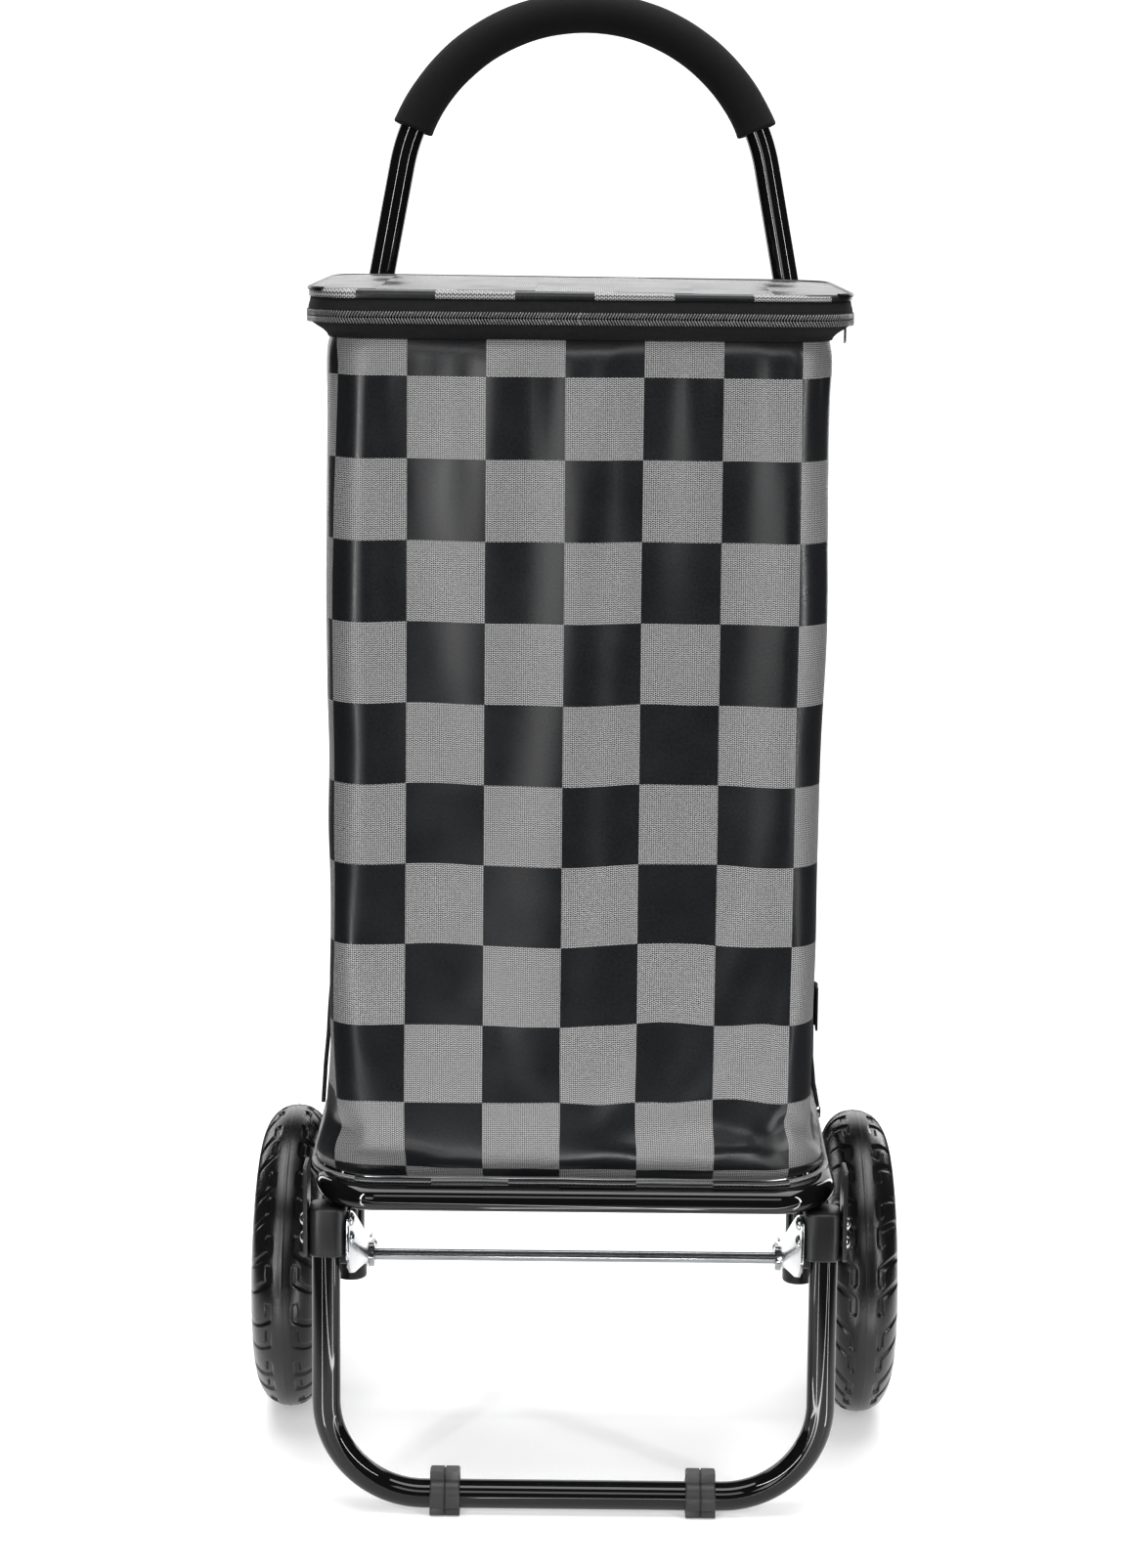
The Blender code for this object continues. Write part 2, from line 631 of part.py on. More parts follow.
# ---------------------------------------------------------------- tray
def make_tray(paint):
    """A three-sided loop of tube that swings up about pins through its rear ends."""
    pivot = (0.0, TRAY_REAR_Y, TRAY_HEIGHT)
    end = TRAY_REAR_Y + RAIL_R
    front = LEG_Y - TRAY_AHEAD
    corners = [
        Vector((-FRAME_HALF, end, TRAY_HEIGHT)),
        Vector((-FRAME_HALF, front, TRAY_HEIGHT)),
        Vector((FRAME_HALF, front, TRAY_HEIGHT)),
        Vector((FRAME_HALF, end, TRAY_HEIGHT)),
    ]
    path = rounded_path(corners, [TRAY_CORNER_RADIUS] * 2)
    tube = hollow_tube(path, Vector((0, 0, 1)), RAIL_R, TRAY_WALL)
    obj = place("tray_loop", tube, paint, pivot)
    for side in (-1.0, 1.0):
        drill(obj, TRAY_REAR_Y, TRAY_HEIGHT, PIN_RADIUS + RUNNING_GAP, *past_tube(side))
    half = FRAME_HALF - RAIL_R - GAP
    z = RAIL_TOP - TRAY_BAR / 2
    first, last = front + FIRST_BAR, TRAY_REAR_Y - LAST_BAR
    for i in range(TRAY_BAR_COUNT):
        y = first + (last - first) * i / (TRAY_BAR_COUNT - 1)
        bar_path = [Vector((-half, y, z)), Vector((half, y, z))]
        tube = hollow_tube(bar_path, Vector((0, 1, 0)), TRAY_BAR / 2, TRAY_WALL)
        place(f"tray_bar_{i + 1}", tube, paint, pivot)


def make_tray_ears(paint):
    """Plates on the uprights' inner faces, which carry the tray's pins."""
    rear = upright_y(TRAY_HEIGHT)
    for name, side in sides_of("tray_ear"):
        x0, x1 = sorted((side * EAR_X, side * (EAR_X + EAR_THICKNESS)))
        outline = []
        for centre, start in ((TRAY_REAR_Y, 0.25), (rear, 0.75)):
            for i in range(7):
                turn = math.tau * (start + 0.5 * i / 6)
                y = centre + EAR_HALF_HEIGHT * math.cos(turn)
                outline.append((y, TRAY_HEIGHT + EAR_HALF_HEIGHT * math.sin(turn)))
        obj = place(name, plate(outline, x0, x1), paint)
        drill(obj, TRAY_REAR_Y, TRAY_HEIGHT, PIN_RADIUS + GAP, x0 - CUT_PAST, x1 + CUT_PAST)
        drill(obj, rear, TRAY_HEIGHT, RIVET_RADIUS + GAP, x0 - CUT_PAST, x1 + CUT_PAST)


def make_tray_pins(metal):
    """Headed pins through the ears and the tray's rear ends."""
    head = PIN_RADIUS + PIN_HEAD
    inner, outer = EAR_X - GAP, FRAME_HALF + RAIL_R + GAP
    for name, side in sides_of("tray_pin"):
        profile = [
            (inner - PIN_HEAD, head * 0.75),
            (inner - PIN_HEAD / 2, head),
            (inner, head),
            (inner, PIN_RADIUS),
            (outer, PIN_RADIUS),
            (outer, head),
            (outer + PIN_HEAD / 2, head),
            (outer + PIN_HEAD, head * 0.75),
        ]
        across, up = Vector((0, 1, 0)), Vector((0, 0, 1))
        rings = [
            circle(Vector((side * x, TRAY_REAR_Y, TRAY_HEIGHT)), across, up, r, 12)
            for x, r in profile
        ]
        place(name, loft(rings), metal)


# ---------------------------------------------------------------- wheels
HUB_INNER = WHEEL_X - HUB_HALF
HUB_OUTER = WHEEL_X + HUB_HALF
BUSH_BORE = AXLE_DIAMETER / 2 + RUNNING_GAP
FLANGE_PROUD = GAP + BUSH_FLANGE_THICKNESS
WASHER_X = HUB_OUTER + FLANGE_PROUD + GAP
NUT_X = WASHER_X + WASHER_THICKNESS + GAP
AXLE_END = NUT_X + NUT_LENGTH * AXLE_IN_NUT


def make_axle(chrome):
    """A straight bar that both wheels turn on."""
    ends = [Vector((side * AXLE_END, AXLE_Y, AXLE_Z)) for side in (-1, 1)]
    place("axle", rod(*ends, AXLE_DIAMETER / 2), chrome)


def make_axle_fittings(metal, plastic):
    """Spacers inside the wheels; washers and push-on nuts outside them."""
    bore = AXLE_DIAMETER / 2 + RUNNING_GAP
    for name, side in sides_of("axle_spacer"):
        x0, x1 = PLATE_X + PLATE_THICKNESS + GAP, HUB_INNER - FLANGE_PROUD - GAP
        outline = [(x0, bore), (x0, SPACER_RADIUS), (x1, SPACER_RADIUS), (x1, bore)]
        place(name, turned([(side * x, r) for x, r in outline], Vector((0, AXLE_Y, AXLE_Z))), plastic)
    for name, side in sides_of("axle_washer"):
        x0, x1 = WASHER_X, WASHER_X + WASHER_THICKNESS
        outline = [(x0, bore), (x0, WASHER_RADIUS), (x1, WASHER_RADIUS), (x1, bore)]
        place(name, turned([(side * x, r) for x, r in outline], Vector((0, AXLE_Y, AXLE_Z))), metal)
    for name, side in sides_of("axle_nut"):
        x0, x1 = NUT_X, NUT_X + NUT_LENGTH
        profile = [
            (x0, AXLE_DIAMETER / 2 + GAP),
            (x0, NUT_RADIUS),
            (x1 - NUT_CHAMFER / 2, NUT_RADIUS),
            (x1, NUT_RADIUS - NUT_CHAMFER),
            (x1, AXLE_DIAMETER / 2 + GAP),
        ]
        centre = Vector((0, AXLE_Y, AXLE_Z))
        place(name, turned([(side * x, r) for x, r in profile], centre), metal)


def make_tyre(name, side, rubber):
    """A solid tyre with a rounded tread and flat beads."""
    half = TYRE_WIDTH / 2
    bead = BEAD_SHARE * half
    profile = [(-bead, TYRE_BORE_RADIUS), (-bead, TYRE_BORE_RADIUS + LIP_HEIGHT + GAP)]
    shoulder = WHEEL_RADIUS - TYRE_BORE_RADIUS
    for share, lift in ((-0.97, 0.25), (-1.0, 0.48), (-0.90, 0.74), (-0.52, 0.95)):
        profile.append((share * half, TYRE_BORE_RADIUS + lift * shoulder))
    profile.append((0.0, WHEEL_RADIUS))
    profile += [(-x, r) for x, r in profile[-2::-1]]
    centre = Vector((side * WHEEL_X, AXLE_Y, AXLE_Z))
    place(name, turned(profile, centre, sides=TYRE_SIDES), rubber, pivot=centre)


def make_rim(name, side, plastic):
    """A hub, a spoked disc and a barrel with lips that hold the tyre."""
    centre = Vector((side * WHEEL_X, AXLE_Y, AXLE_Z))
    barrel_out = TYRE_BORE_RADIUS - GAP
    barrel_in = barrel_out - RIM_WALL
    bead = BEAD_SHARE * TYRE_WIDTH / 2 + GAP
    disc = DISC_THICKNESS / 2
    profile = [
        (-HUB_HALF, BUSH_RADIUS + GAP),
        (-HUB_HALF, HUB_RADIUS),
        (-disc, HUB_RADIUS + HUB_FLARE),
        (-disc, barrel_in - RIM_DISH),
        (-bead, barrel_in),
        (-bead - LIP_THICKNESS, barrel_out - RIM_WALL / 4),
        (-bead - LIP_THICKNESS * 2 / 3, barrel_out + LIP_HEIGHT),
        (-bead, barrel_out + LIP_HEIGHT),
        (-bead, barrel_out),
    ]
    profile += [(-x, r) for x, r in profile[::-1]]
    obj = place(name, turned(profile, centre, sides=RIM_SIDES), plastic, pivot=centre)
    window_low, window_high = HUB_RADIUS + WINDOW_MARGIN, barrel_in - WINDOW_MARGIN
    half_spoke = SPOKE_WIDTH / 2
    for i in range(SPOKES):
        middle = math.tau * (i + 0.5) / SPOKES
        outline = []
        for radius, flip in ((window_low, 1), (window_high, -1)):
            reach = math.pi / SPOKES - math.asin(half_spoke / radius)
            for k in range(5):
                turn = middle + flip * reach * (k / 2 - 1)
                y, z = radius * math.cos(turn), radius * math.sin(turn)
                outline.append((centre.y + y, centre.z + z))
        window = plate(outline, centre.x - CUT_PAST, centre.x + CUT_PAST)
        cut(obj, window, f"{name}_window_{i}")


def make_bushes(name, side, plastic):
    """Flanged bushes pressed into both ends of the hub."""
    centre = Vector((side * WHEEL_X, AXLE_Y, AXLE_Z))
    flange = HUB_HALF + FLANGE_PROUD
    for label, way in (("inner", -side), ("outer", side)):
        profile = [
            (way * flange, BUSH_BORE),
            (way * flange, BUSH_FLANGE),
            (way * (HUB_HALF + GAP), BUSH_FLANGE),
            (way * (HUB_HALF + GAP), BUSH_RADIUS),
            (way * (HUB_HALF - BUSH_LENGTH), BUSH_RADIUS),
            (way * (HUB_HALF - BUSH_LENGTH), BUSH_BORE),
        ]
        place(f"{name}_{label}", turned(profile, centre), plastic, pivot=centre)


def make_hub_cap(name, side, plastic):
    """A domed cup pushed over the hub's outer end, which hides the nut."""
    centre = Vector((side * WHEEL_X, AXLE_Y, AXLE_Z))
    face = TYRE_WIDTH / 2 - GAP
    rim_x = HUB_HALF - HUB_CAP_GRIP
    inner = NUT_X + NUT_LENGTH + GAP * 2 - WHEEL_X
    outside = [
        (rim_x, HUB_CAP_BORE + HUB_CAP_WALL),
        (face - HUB_CAP_WALL, HUB_CAP_BORE + HUB_CAP_WALL * 0.75),
        (face - HUB_CAP_WALL / 4, HUB_CAP_BORE - HUB_CAP_DOME),
        (face, HUB_CAP_BORE * 0.45),
    ]
    inside = [(rim_x, HUB_CAP_BORE), (inner, HUB_CAP_BORE - HUB_CAP_WALL)]
    across, up = Vector((0, 1, 0)), Vector((0, 0, 1))
    bm = bmesh.new()
    shell = skin(bm, [circle(centre + Vector((side * x, 0, 0)), across, up, r, 24) for x, r in outside])
    hollow = skin(bm, [circle(centre + Vector((side * x, 0, 0)), across, up, r, 24) for x, r in inside])
    bm.faces.new(shell[-1])
    bm.faces.new(hollow[-1])
    for i in range(24):
        j = (i + 1) % 24
        bm.faces.new((shell[0][i], shell[0][j], hollow[0][j], hollow[0][i]))
    place(name, bm, plastic, pivot=centre)


def make_wheels(rubber, plastic, cap_plastic):
    for name, side in sides_of("tyre"):
        make_tyre(name, side, rubber)
    for name, side in sides_of("rim"):
        make_rim(name, side, plastic)
    for name, side in sides_of("bush"):
        make_bushes(name, side, cap_plastic)
    for name, side in sides_of("hub_cap"):
        make_hub_cap(name, side, cap_plastic)


# ---------------------------------------------------------------- bag
def bag_ring(share, inset=0.0):
    """The bag's outline at a share of its height, pulled in by an inset."""
    z = BAG_BOTTOM + share * BAG_HEIGHT
    half = FRAME_HALF + BAG_BOTTOM_PROUD + (BAG_TOP_PROUD - BAG_BOTTOM_PROUD) * share
    front = LEG_Y + BAG_BOTTOM_SETBACK + (BAG_TOP_SETBACK - BAG_BOTTOM_SETBACK) * share
    back = bag_back(share)
    return rounded_rectangle(half - inset, front + inset, back - inset, BAG_CORNER - inset, z)


def bag_back(share):
    low = upright_y(BAG_BOTTOM) - TUBE_R - BAG_STANDOFF
    return low + (LID_REAR_Y - low) * share


def make_bag(fabric):
    """The bag's body as one thin shell, open at the top and stood on the tray."""
    bm = bmesh.new()
    shares = (0.0, 0.35, 0.7, 1.0)
    outer = skin(bm, [bag_ring(share) for share in shares])
    floor = BAG_WALL / BAG_HEIGHT
    inner = skin(bm, [bag_ring(share, BAG_WALL) for share in (1.0, 0.7, 0.35, floor)])
    bm.faces.new(outer[0])
    bm.faces.new(inner[-1])
    count = len(outer[0])
    for i in range(count):
        j = (i + 1) % count
        bm.faces.new((outer[-1][i], outer[-1][j], inner[0][j], inner[0][i]))
    place("bag_shell", bm, fabric)


def make_board(plastic):
    """A stiff base inside the bag, which lifts with the tray."""
    z = BAG_BOTTOM + BAG_WALL + GAP
    half = EAR_X - BOARD_SIDE_GAP
    front = LEG_Y + BAG_BOTTOM_SETBACK + BOARD_MARGIN
    back = bag_back(0.0) - BOARD_MARGIN
    levels = (z, z + BOARD_THICKNESS)
    rings = [rounded_rectangle(half, front, back, BOARD_CORNER, level) for level in levels]
    pivot = (0.0, TRAY_REAR_Y, TRAY_HEIGHT)
    place("base_board", loft(rings), plastic, pivot)


def band(low, high, outer, inner):
    """A level ring with a rectangular section, following the lid's outline."""
    def ring(proud, z):
        return rounded_rectangle(
            LID_HALF + proud, LID_FRONT_Y - proud, LID_REAR_Y + proud, LID_CORNER + proud, z
        )

    return turned_loft([ring(outer, low), ring(outer, high), ring(inner, high), ring(inner, low)])


def make_zip(tape, teeth):
    """Two tapes with a row of teeth on each; the upper pair lifts with the lid."""
    pivot = (0.0, LID_REAR_Y, LID_BOTTOM)
    place("zip_tape_lower", band(TAPE_BOTTOM, TAPE_MIDDLE, 0.0, -TAPE_WALL), tape)
    low = TAPE_MIDDLE + GAP
    place("zip_tape_upper", band(low, low + UPPER_TAPE_HEIGHT, 0.0, -TAPE_WALL), tape, pivot)
    inner, outer = GAP, GAP + TEETH_PROUD
    bottom = TAPE_MIDDLE - TEETH_HEIGHT
    place("zip_teeth_lower", band(bottom, TAPE_MIDDLE, outer, inner), teeth)
    place("zip_teeth_upper", band(low, low + TEETH_HEIGHT, outer, inner), teeth, pivot)


def make_lid(fabric):
    """A padded panel with rounded edges that hinges along its rear edge."""
    half = LID_HALF
    edge = LID_THICKNESS * 0.35
    rings = []
    for z, inset in (
        (LID_BOTTOM, 0.0),
        (LID_BOTTOM + LID_THICKNESS - edge, 0.0),
        (LID_BOTTOM + LID_THICKNESS - edge * 0.3, edge * 0.3),
        (LID_BOTTOM + LID_THICKNESS, edge),
    ):
        rings.append(
            rounded_rectangle(
                half - inset, LID_FRONT_Y + inset, LID_REAR_Y - inset, LID_CORNER - inset, z
            )
        )
    place("lid_panel", loft(rings), fabric, (0.0, LID_REAR_Y, LID_BOTTOM))


def strap_ring(side, height, back, radius, stretch):
    """A level ring round an upright; its stretched front half reaches the bag's back."""
    centre = Vector((side * FRAME_HALF, upright_y(height), height))
    ring = []
    for i in range(STRAP_SIDES):
        turn = math.tau * i / STRAP_SIDES
        x, y = math.cos(turn), math.sin(turn)
        forward = (centre.y - back) * min(1.0, -y * STRAP_SHOULDER)
        reach = max(radius, forward) if stretch and y < 0 else radius
        ring.append(centre + Vector((x * radius, y * reach, 0)))
    return ring


def make_straps(webbing):
    """Loops of webbing that hold the bag's back to the uprights."""
    low = BAG_BOTTOM + STRAP_ABOVE_FLOOR
    high = frame_point(0, BEND_ALONG).z - STRAP_BELOW_BEND
    bore = TUBE_R + GAP + STRAP_SLACK
    for level, z in (("lower", low), ("upper", high)):
        ends = (z - STRAP_HEIGHT / 2, z + STRAP_HEIGHT / 2)
        back = bag_back((ends[1] - BAG_BOTTOM) / BAG_HEIGHT) + GAP
        for name, side in sides_of(f"strap_{level}"):
            outside = [strap_ring(side, h, back, bore + STRAP_WALL, True) for h in ends]
            inside = [strap_ring(side, h, back, bore, False) for h in ends]
            place(name, turned_loft(outside + inside[::-1]), webbing)


# ---------------------------------------------------------------- zip slider
TEETH_FACE = LID_HALF + GAP + TEETH_PROUD
SLIDER_X = TEETH_FACE + GAP
SLIDER_Y = LID_REAR_Y - LID_CORNER - SLIDER_FROM_REAR
BAIL_X = SLIDER_X + SLIDER_PLATE + GAP + PULLER_BARREL


def make_slider(metal):
    """A plate on the teeth with a low bridge that the pull tab hangs from."""
    y0, y1 = SLIDER_Y - SLIDER_LENGTH / 2, SLIDER_Y + SLIDER_LENGTH / 2
    z0, z1 = TAPE_MIDDLE - SLIDER_HEIGHT / 2, TAPE_MIDDLE + SLIDER_HEIGHT / 2
    pivot = (SLIDER_X, SLIDER_Y, TAPE_MIDDLE)
    obj = place("zip_slider", bar((SLIDER_X, y0, z0), (SLIDER_X + SLIDER_PLATE, y1, z1)), metal, pivot)
    for k, (low, high) in enumerate(((y0, y0 + POST_THICKNESS), (y1 - POST_THICKNESS, y1))):
        inset = POST_INSET if k == 0 else -POST_INSET
        post = bar(
            (SLIDER_X + SLIDER_PLATE / 2, low + inset, TAPE_MIDDLE - POST_HALF_HEIGHT),
            (BAIL_X + POST_HALF_HEIGHT, high + inset, TAPE_MIDDLE + POST_HALF_HEIGHT),
        )
        join(obj, post, f"slider_post_{k}")
    inside = POST_THICKNESS / 2
    start, end = (Vector((BAIL_X, y, TAPE_MIDDLE)) for y in (y0 + inside, y1 - inside))
    join(obj, rod(start, end, BAIL_RADIUS, sides=10), "slider_bail")


def make_puller(metal):
    """A barrel round the bridge with a flat tab that hangs down."""
    half = SLIDER_LENGTH / 2 - POST_THICKNESS - PULLER_PLAY
    outline = []
    for i in range(13):
        turn = math.radians(-60 + 300 * i / 12)
        x, z = PULLER_BARREL * math.cos(turn), PULLER_BARREL * math.sin(turn)
        outline.append((x, z))
    tip = -PULLER_LENGTH
    outline += [(-PULLER_THICKNESS / 2, tip), (PULLER_THICKNESS / 2, tip)]
    rings = []
    for y in (SLIDER_Y - half, SLIDER_Y + half):
        rings.append([Vector((BAIL_X + x, y, TAPE_MIDDLE + z)) for x, z in outline])
    obj = place("zip_puller", loft(rings), metal, (BAIL_X, SLIDER_Y, TAPE_MIDDLE))
    start, end = (Vector((BAIL_X, SLIDER_Y + y, TAPE_MIDDLE)) for y in (-CUT_PAST, CUT_PAST))
    cut(obj, rod(start, end, PULLER_BORE, sides=12), "puller_bore")


def main():
    for obj in list(bpy.data.objects):
        bpy.data.objects.remove(obj)
    gloss_paint = finish("black_gloss_paint", (0.012, 0.012, 0.013), 0.12)
    foam = finish("black_foam", (0.018, 0.018, 0.018), 0.85)
    satin_plastic = finish("black_satin_plastic", (0.020, 0.020, 0.021), 0.42)
    clip_plastic = finish("dark_grey_plastic", (0.045, 0.046, 0.048), 0.45)
    chrome = finish("zinc_chrome", (0.80, 0.81, 0.82), 0.14, 1.0)
    rubber = finish("tyre_rubber", (0.016, 0.016, 0.017), 0.50)
    rim_plastic = finish("rim_plastic", (0.022, 0.022, 0.023), 0.38)
    fabric = finish("checked_fabric", (0.065, 0.067, 0.070), 0.55)
    tape = finish("zip_tape_fabric", (0.014, 0.014, 0.015), 0.80)
    teeth = finish("zip_teeth_grey", (0.42, 0.43, 0.44), 0.35)
    board = finish("board_plastic", (0.030, 0.030, 0.031), 0.60)
    webbing = finish("black_webbing", (0.015, 0.015, 0.016), 0.80)
    slider_metal = finish("slider_metal", (0.30, 0.30, 0.31), 0.30, 1.0)

    make_handle_frame(gloss_paint)
    make_grip(foam)
    make_upright_caps(satin_plastic)
    make_brace(gloss_paint)
    make_foot(gloss_paint)
    make_sleeves(satin_plastic)
    make_stops(gloss_paint)
    make_side_plates(chrome)
    make_rivets(chrome)
    make_foot_clips(clip_plastic)
    make_tray(gloss_paint)
    make_tray_ears(gloss_paint)
    make_tray_pins(chrome)
    make_axle(chrome)
    make_axle_fittings(chrome, satin_plastic)
    make_wheels(rubber, rim_plastic, satin_plastic)
    make_bag(fabric)
    make_board(board)
    make_zip(tape, teeth)
    make_lid(fabric)
    make_straps(webbing)
    make_slider(slider_metal)
    make_puller(slider_metal)


main()
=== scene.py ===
# %% [markdown]
# # A two-wheeled shopping trolley
# This lesson dresses a finished mechanical model: steel tubes, moulded tyres and a checked bag.
# The frame holds every moving piece in metres, so each new piece is built where the old one stands
# and then rides on the same body.

import json
import math

import bmesh
import bpy
import numpy as np
from mathutils import Matrix, Vector, noise


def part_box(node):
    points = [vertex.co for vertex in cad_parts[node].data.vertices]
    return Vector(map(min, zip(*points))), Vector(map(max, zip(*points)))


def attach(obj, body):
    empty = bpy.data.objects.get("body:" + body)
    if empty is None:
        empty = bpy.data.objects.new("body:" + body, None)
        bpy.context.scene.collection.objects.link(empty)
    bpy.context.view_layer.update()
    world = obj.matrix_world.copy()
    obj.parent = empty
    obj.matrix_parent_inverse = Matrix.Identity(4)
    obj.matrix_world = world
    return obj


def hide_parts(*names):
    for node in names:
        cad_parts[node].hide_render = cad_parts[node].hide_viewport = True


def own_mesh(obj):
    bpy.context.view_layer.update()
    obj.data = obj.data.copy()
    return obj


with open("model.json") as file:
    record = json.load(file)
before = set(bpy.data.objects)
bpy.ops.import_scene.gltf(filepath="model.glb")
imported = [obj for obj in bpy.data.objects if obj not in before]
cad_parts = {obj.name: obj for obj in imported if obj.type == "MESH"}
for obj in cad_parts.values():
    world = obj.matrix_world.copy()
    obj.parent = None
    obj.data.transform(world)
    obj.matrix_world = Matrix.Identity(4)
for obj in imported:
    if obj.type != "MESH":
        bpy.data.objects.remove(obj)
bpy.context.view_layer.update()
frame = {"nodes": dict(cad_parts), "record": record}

# %% [markdown]
# ## The camera
# The trolley is seen from the front and a little above the lid. A long lens keeps the tubes
# parallel. The lens looks only slightly down, and the picture is shifted instead, as with a
# studio camera whose back stays nearly upright.

# %% Camera
CAMERA_PLACE = (-0.0004, -1.9536, 0.8493)
CAMERA_DOWN = math.radians(7.29)
CAMERA_ROLL = math.radians(0.49)
CAMERA_TURN = math.radians(0.26)
camera = bpy.data.cameras.new("camera")
camera.lens = 68.9
camera.sensor_width = 36.0
camera.shift_y = -0.1496
camera_object = bpy.data.objects.new("camera", camera)
turn = Matrix.Rotation(CAMERA_TURN, 4, "Z") @ Matrix.Rotation(math.pi / 2 - CAMERA_DOWN, 4, "X")
roll = Matrix.Rotation(CAMERA_ROLL, 4, "Z")
camera_object.matrix_world = Matrix.Translation(CAMERA_PLACE) @ turn @ roll
bpy.context.scene.collection.objects.link(camera_object)
bpy.context.scene.camera = camera_object
print("camera stands", round(-CAMERA_PLACE[1], 2), "m in front of the middle")

# %% [markdown]
# ## The studio
# Gloss black tubes show nothing but what they reflect. Tall narrow lamps draw the thin bright
# lines along them, and a dim room keeps the rest black. Broad lamps above light the cloth and
# the white floor. Narrow lamps lying on the floor carry the bright lines down the legs, which
# mirror the floor ahead of them. The room is white only where the camera looks straight at it,
# and the floor paper turns into the same white away from the trolley, so no edge of it is seen.

# %% Lamps, floor and room
scene = bpy.context.scene
scene.view_settings.view_transform = "Standard"
scene.view_settings.look = "Medium High Contrast"


def add_lamp(name, place, aim, size, power):
    """A rectangular lamp that faces a point."""
    light = bpy.data.lights.new(name, "AREA")
    light.shape = "RECTANGLE"
    light.size, light.size_y = size
    light.energy = power
    lamp = bpy.data.objects.new(name, light)
    place = Vector(place)
    facing = (Vector(aim) - place).to_track_quat("-Z", "Y").to_matrix().to_4x4()
    lamp.matrix_world = Matrix.Translation(place) @ facing
    lamp.visible_camera = False
    scene.collection.objects.link(lamp)
    return lamp


def fill_input(tree, socket, value):
    if isinstance(value, bpy.types.NodeSocket):
        tree.links.new(value, socket)
    else:
        socket.default_value = value


def add_node(tree, kind, **inputs):
    """A node whose named inputs are linked or set; underscores stand for spaces."""
    node = tree.nodes.new(kind)
    for label, value in inputs.items():
        fill_input(tree, node.inputs[label.replace("_", " ")], value)
    return node


add_lamp("top_lamp", (0.0, -0.1, 2.6), (0.0, 0.0, 0.0), (2.6, 2.2), 80.0)
add_lamp("left_strip", (-1.18, -1.99, 1.0), (0.0, -0.1, 0.55), (0.10, 2.0), 20.0)
add_lamp("right_strip", (1.73, -1.49, 1.0), (0.0, -0.1, 0.55), (0.10, 2.0), 20.0)
add_lamp("front_lamp", (0.2, -3.2, 2.3), (0.0, 0.0, 0.5), (1.6, 1.0), 14.0)
add_lamp("sheen_lamp", (-0.9, -3.0, 0.75), (0.0, -0.1, 0.5), (0.7, 0.9), 7.0)
add_lamp("back_panel", (0.0, 3.4, 1.15), (0.0, 0.0, 1.0), (4.6, 2.3), 44.0)
add_lamp("back_left_strip", (-1.7, 1.9, 1.0), (0.0, 0.0, 0.5), (0.3, 2.0), 8.0)
add_lamp("back_right_strip", (1.5, 2.1, 1.1), (0.0, 0.0, 0.5), (0.3, 2.0), 8.0)

LEG_PLACE = (0.1565, -0.136)
LEG_LINE_ANGLES = (-32.5, 52.0)  # degrees, either side of each leg's line of sight
LEG_LINE_SIZE = (0.020, 1.5)
LEG_LINE_MIDDLE = 0.86  # from the leg
SIGHT_TURN = math.radians(4.9)  # between a leg's line of sight and straight ahead
down = Vector((0, 0, -1))
for side in (-1.0, 1.0):
    for angle in LEG_LINE_ANGLES:
        heading = math.radians(angle) - side * SIGHT_TURN
        ray = Vector((math.sin(heading), -math.cos(heading), 0.0))
        lamp_name = f"leg_line_{side:+.0f}_{angle:+.0f}"
        line_lamp = add_lamp(lamp_name, (0, 0, 0), (0, 0, 1), LEG_LINE_SIZE, 1.1)
        basis = Matrix((ray.cross(down), ray, down)).transposed().to_4x4()
        centre = Vector((side * LEG_PLACE[0], LEG_PLACE[1], 0.002)) + ray * LEG_LINE_MIDDLE
        line_lamp.matrix_world = Matrix.Translation(centre) @ basis

WHITE = (1.0, 1.0, 1.0, 1.0)
SEEN_WHITE = 1.1  # strength of the backdrop where the camera looks straight at it
world = bpy.data.worlds.new("studio")
world.use_nodes = True
scene.world = world
room = world.node_tree
room.nodes.clear()
room_ray = add_node(room, "ShaderNodeLightPath")
room_dim = add_node(room, "ShaderNodeBackground", Color=WHITE, Strength=0.06)
room_seen = add_node(room, "ShaderNodeBackground", Color=WHITE, Strength=SEEN_WHITE)
room_mix = add_node(room, "ShaderNodeMixShader", Fac=room_ray.outputs["Is Camera Ray"])
room.links.new(room_dim.outputs["Background"], room_mix.inputs[1])
room.links.new(room_seen.outputs["Background"], room_mix.inputs[2])
add_node(room, "ShaderNodeOutputWorld", Surface=room_mix.outputs["Shader"])

floor_mesh = bpy.data.meshes.new("floor")
FLOOR_HALF = 9.0
FLOOR_Z = -0.0004
floor_mesh.from_pydata(
    [(-FLOOR_HALF, -FLOOR_HALF, FLOOR_Z), (FLOOR_HALF, -FLOOR_HALF, FLOOR_Z),
     (FLOOR_HALF, FLOOR_HALF, FLOOR_Z), (-FLOOR_HALF, FLOOR_HALF, FLOOR_Z)],
    [], [(0, 1, 2, 3)],
)
floor_paper = bpy.data.materials.new("floor_paper")
floor_paper.use_nodes = True
paper = floor_paper.node_tree
floor_shader = paper.nodes["Principled BSDF"]
floor_finish = {"Base Color": (0.86, 0.86, 0.86, 1.0), "Roughness": 0.30, "Emission Color": WHITE,
                "Emission Strength": 0.26}
for label, value in floor_finish.items():
    floor_shader.inputs[label].default_value = value
floor_place = add_node(paper, "ShaderNodeTexCoord")
floor_reach = add_node(paper, "ShaderNodeVectorMath")
floor_reach.operation = "DISTANCE"
floor_reach.inputs[1].default_value = (0.0, 0.12, 0.0)
paper.links.new(floor_place.outputs["Object"], floor_reach.inputs[0])
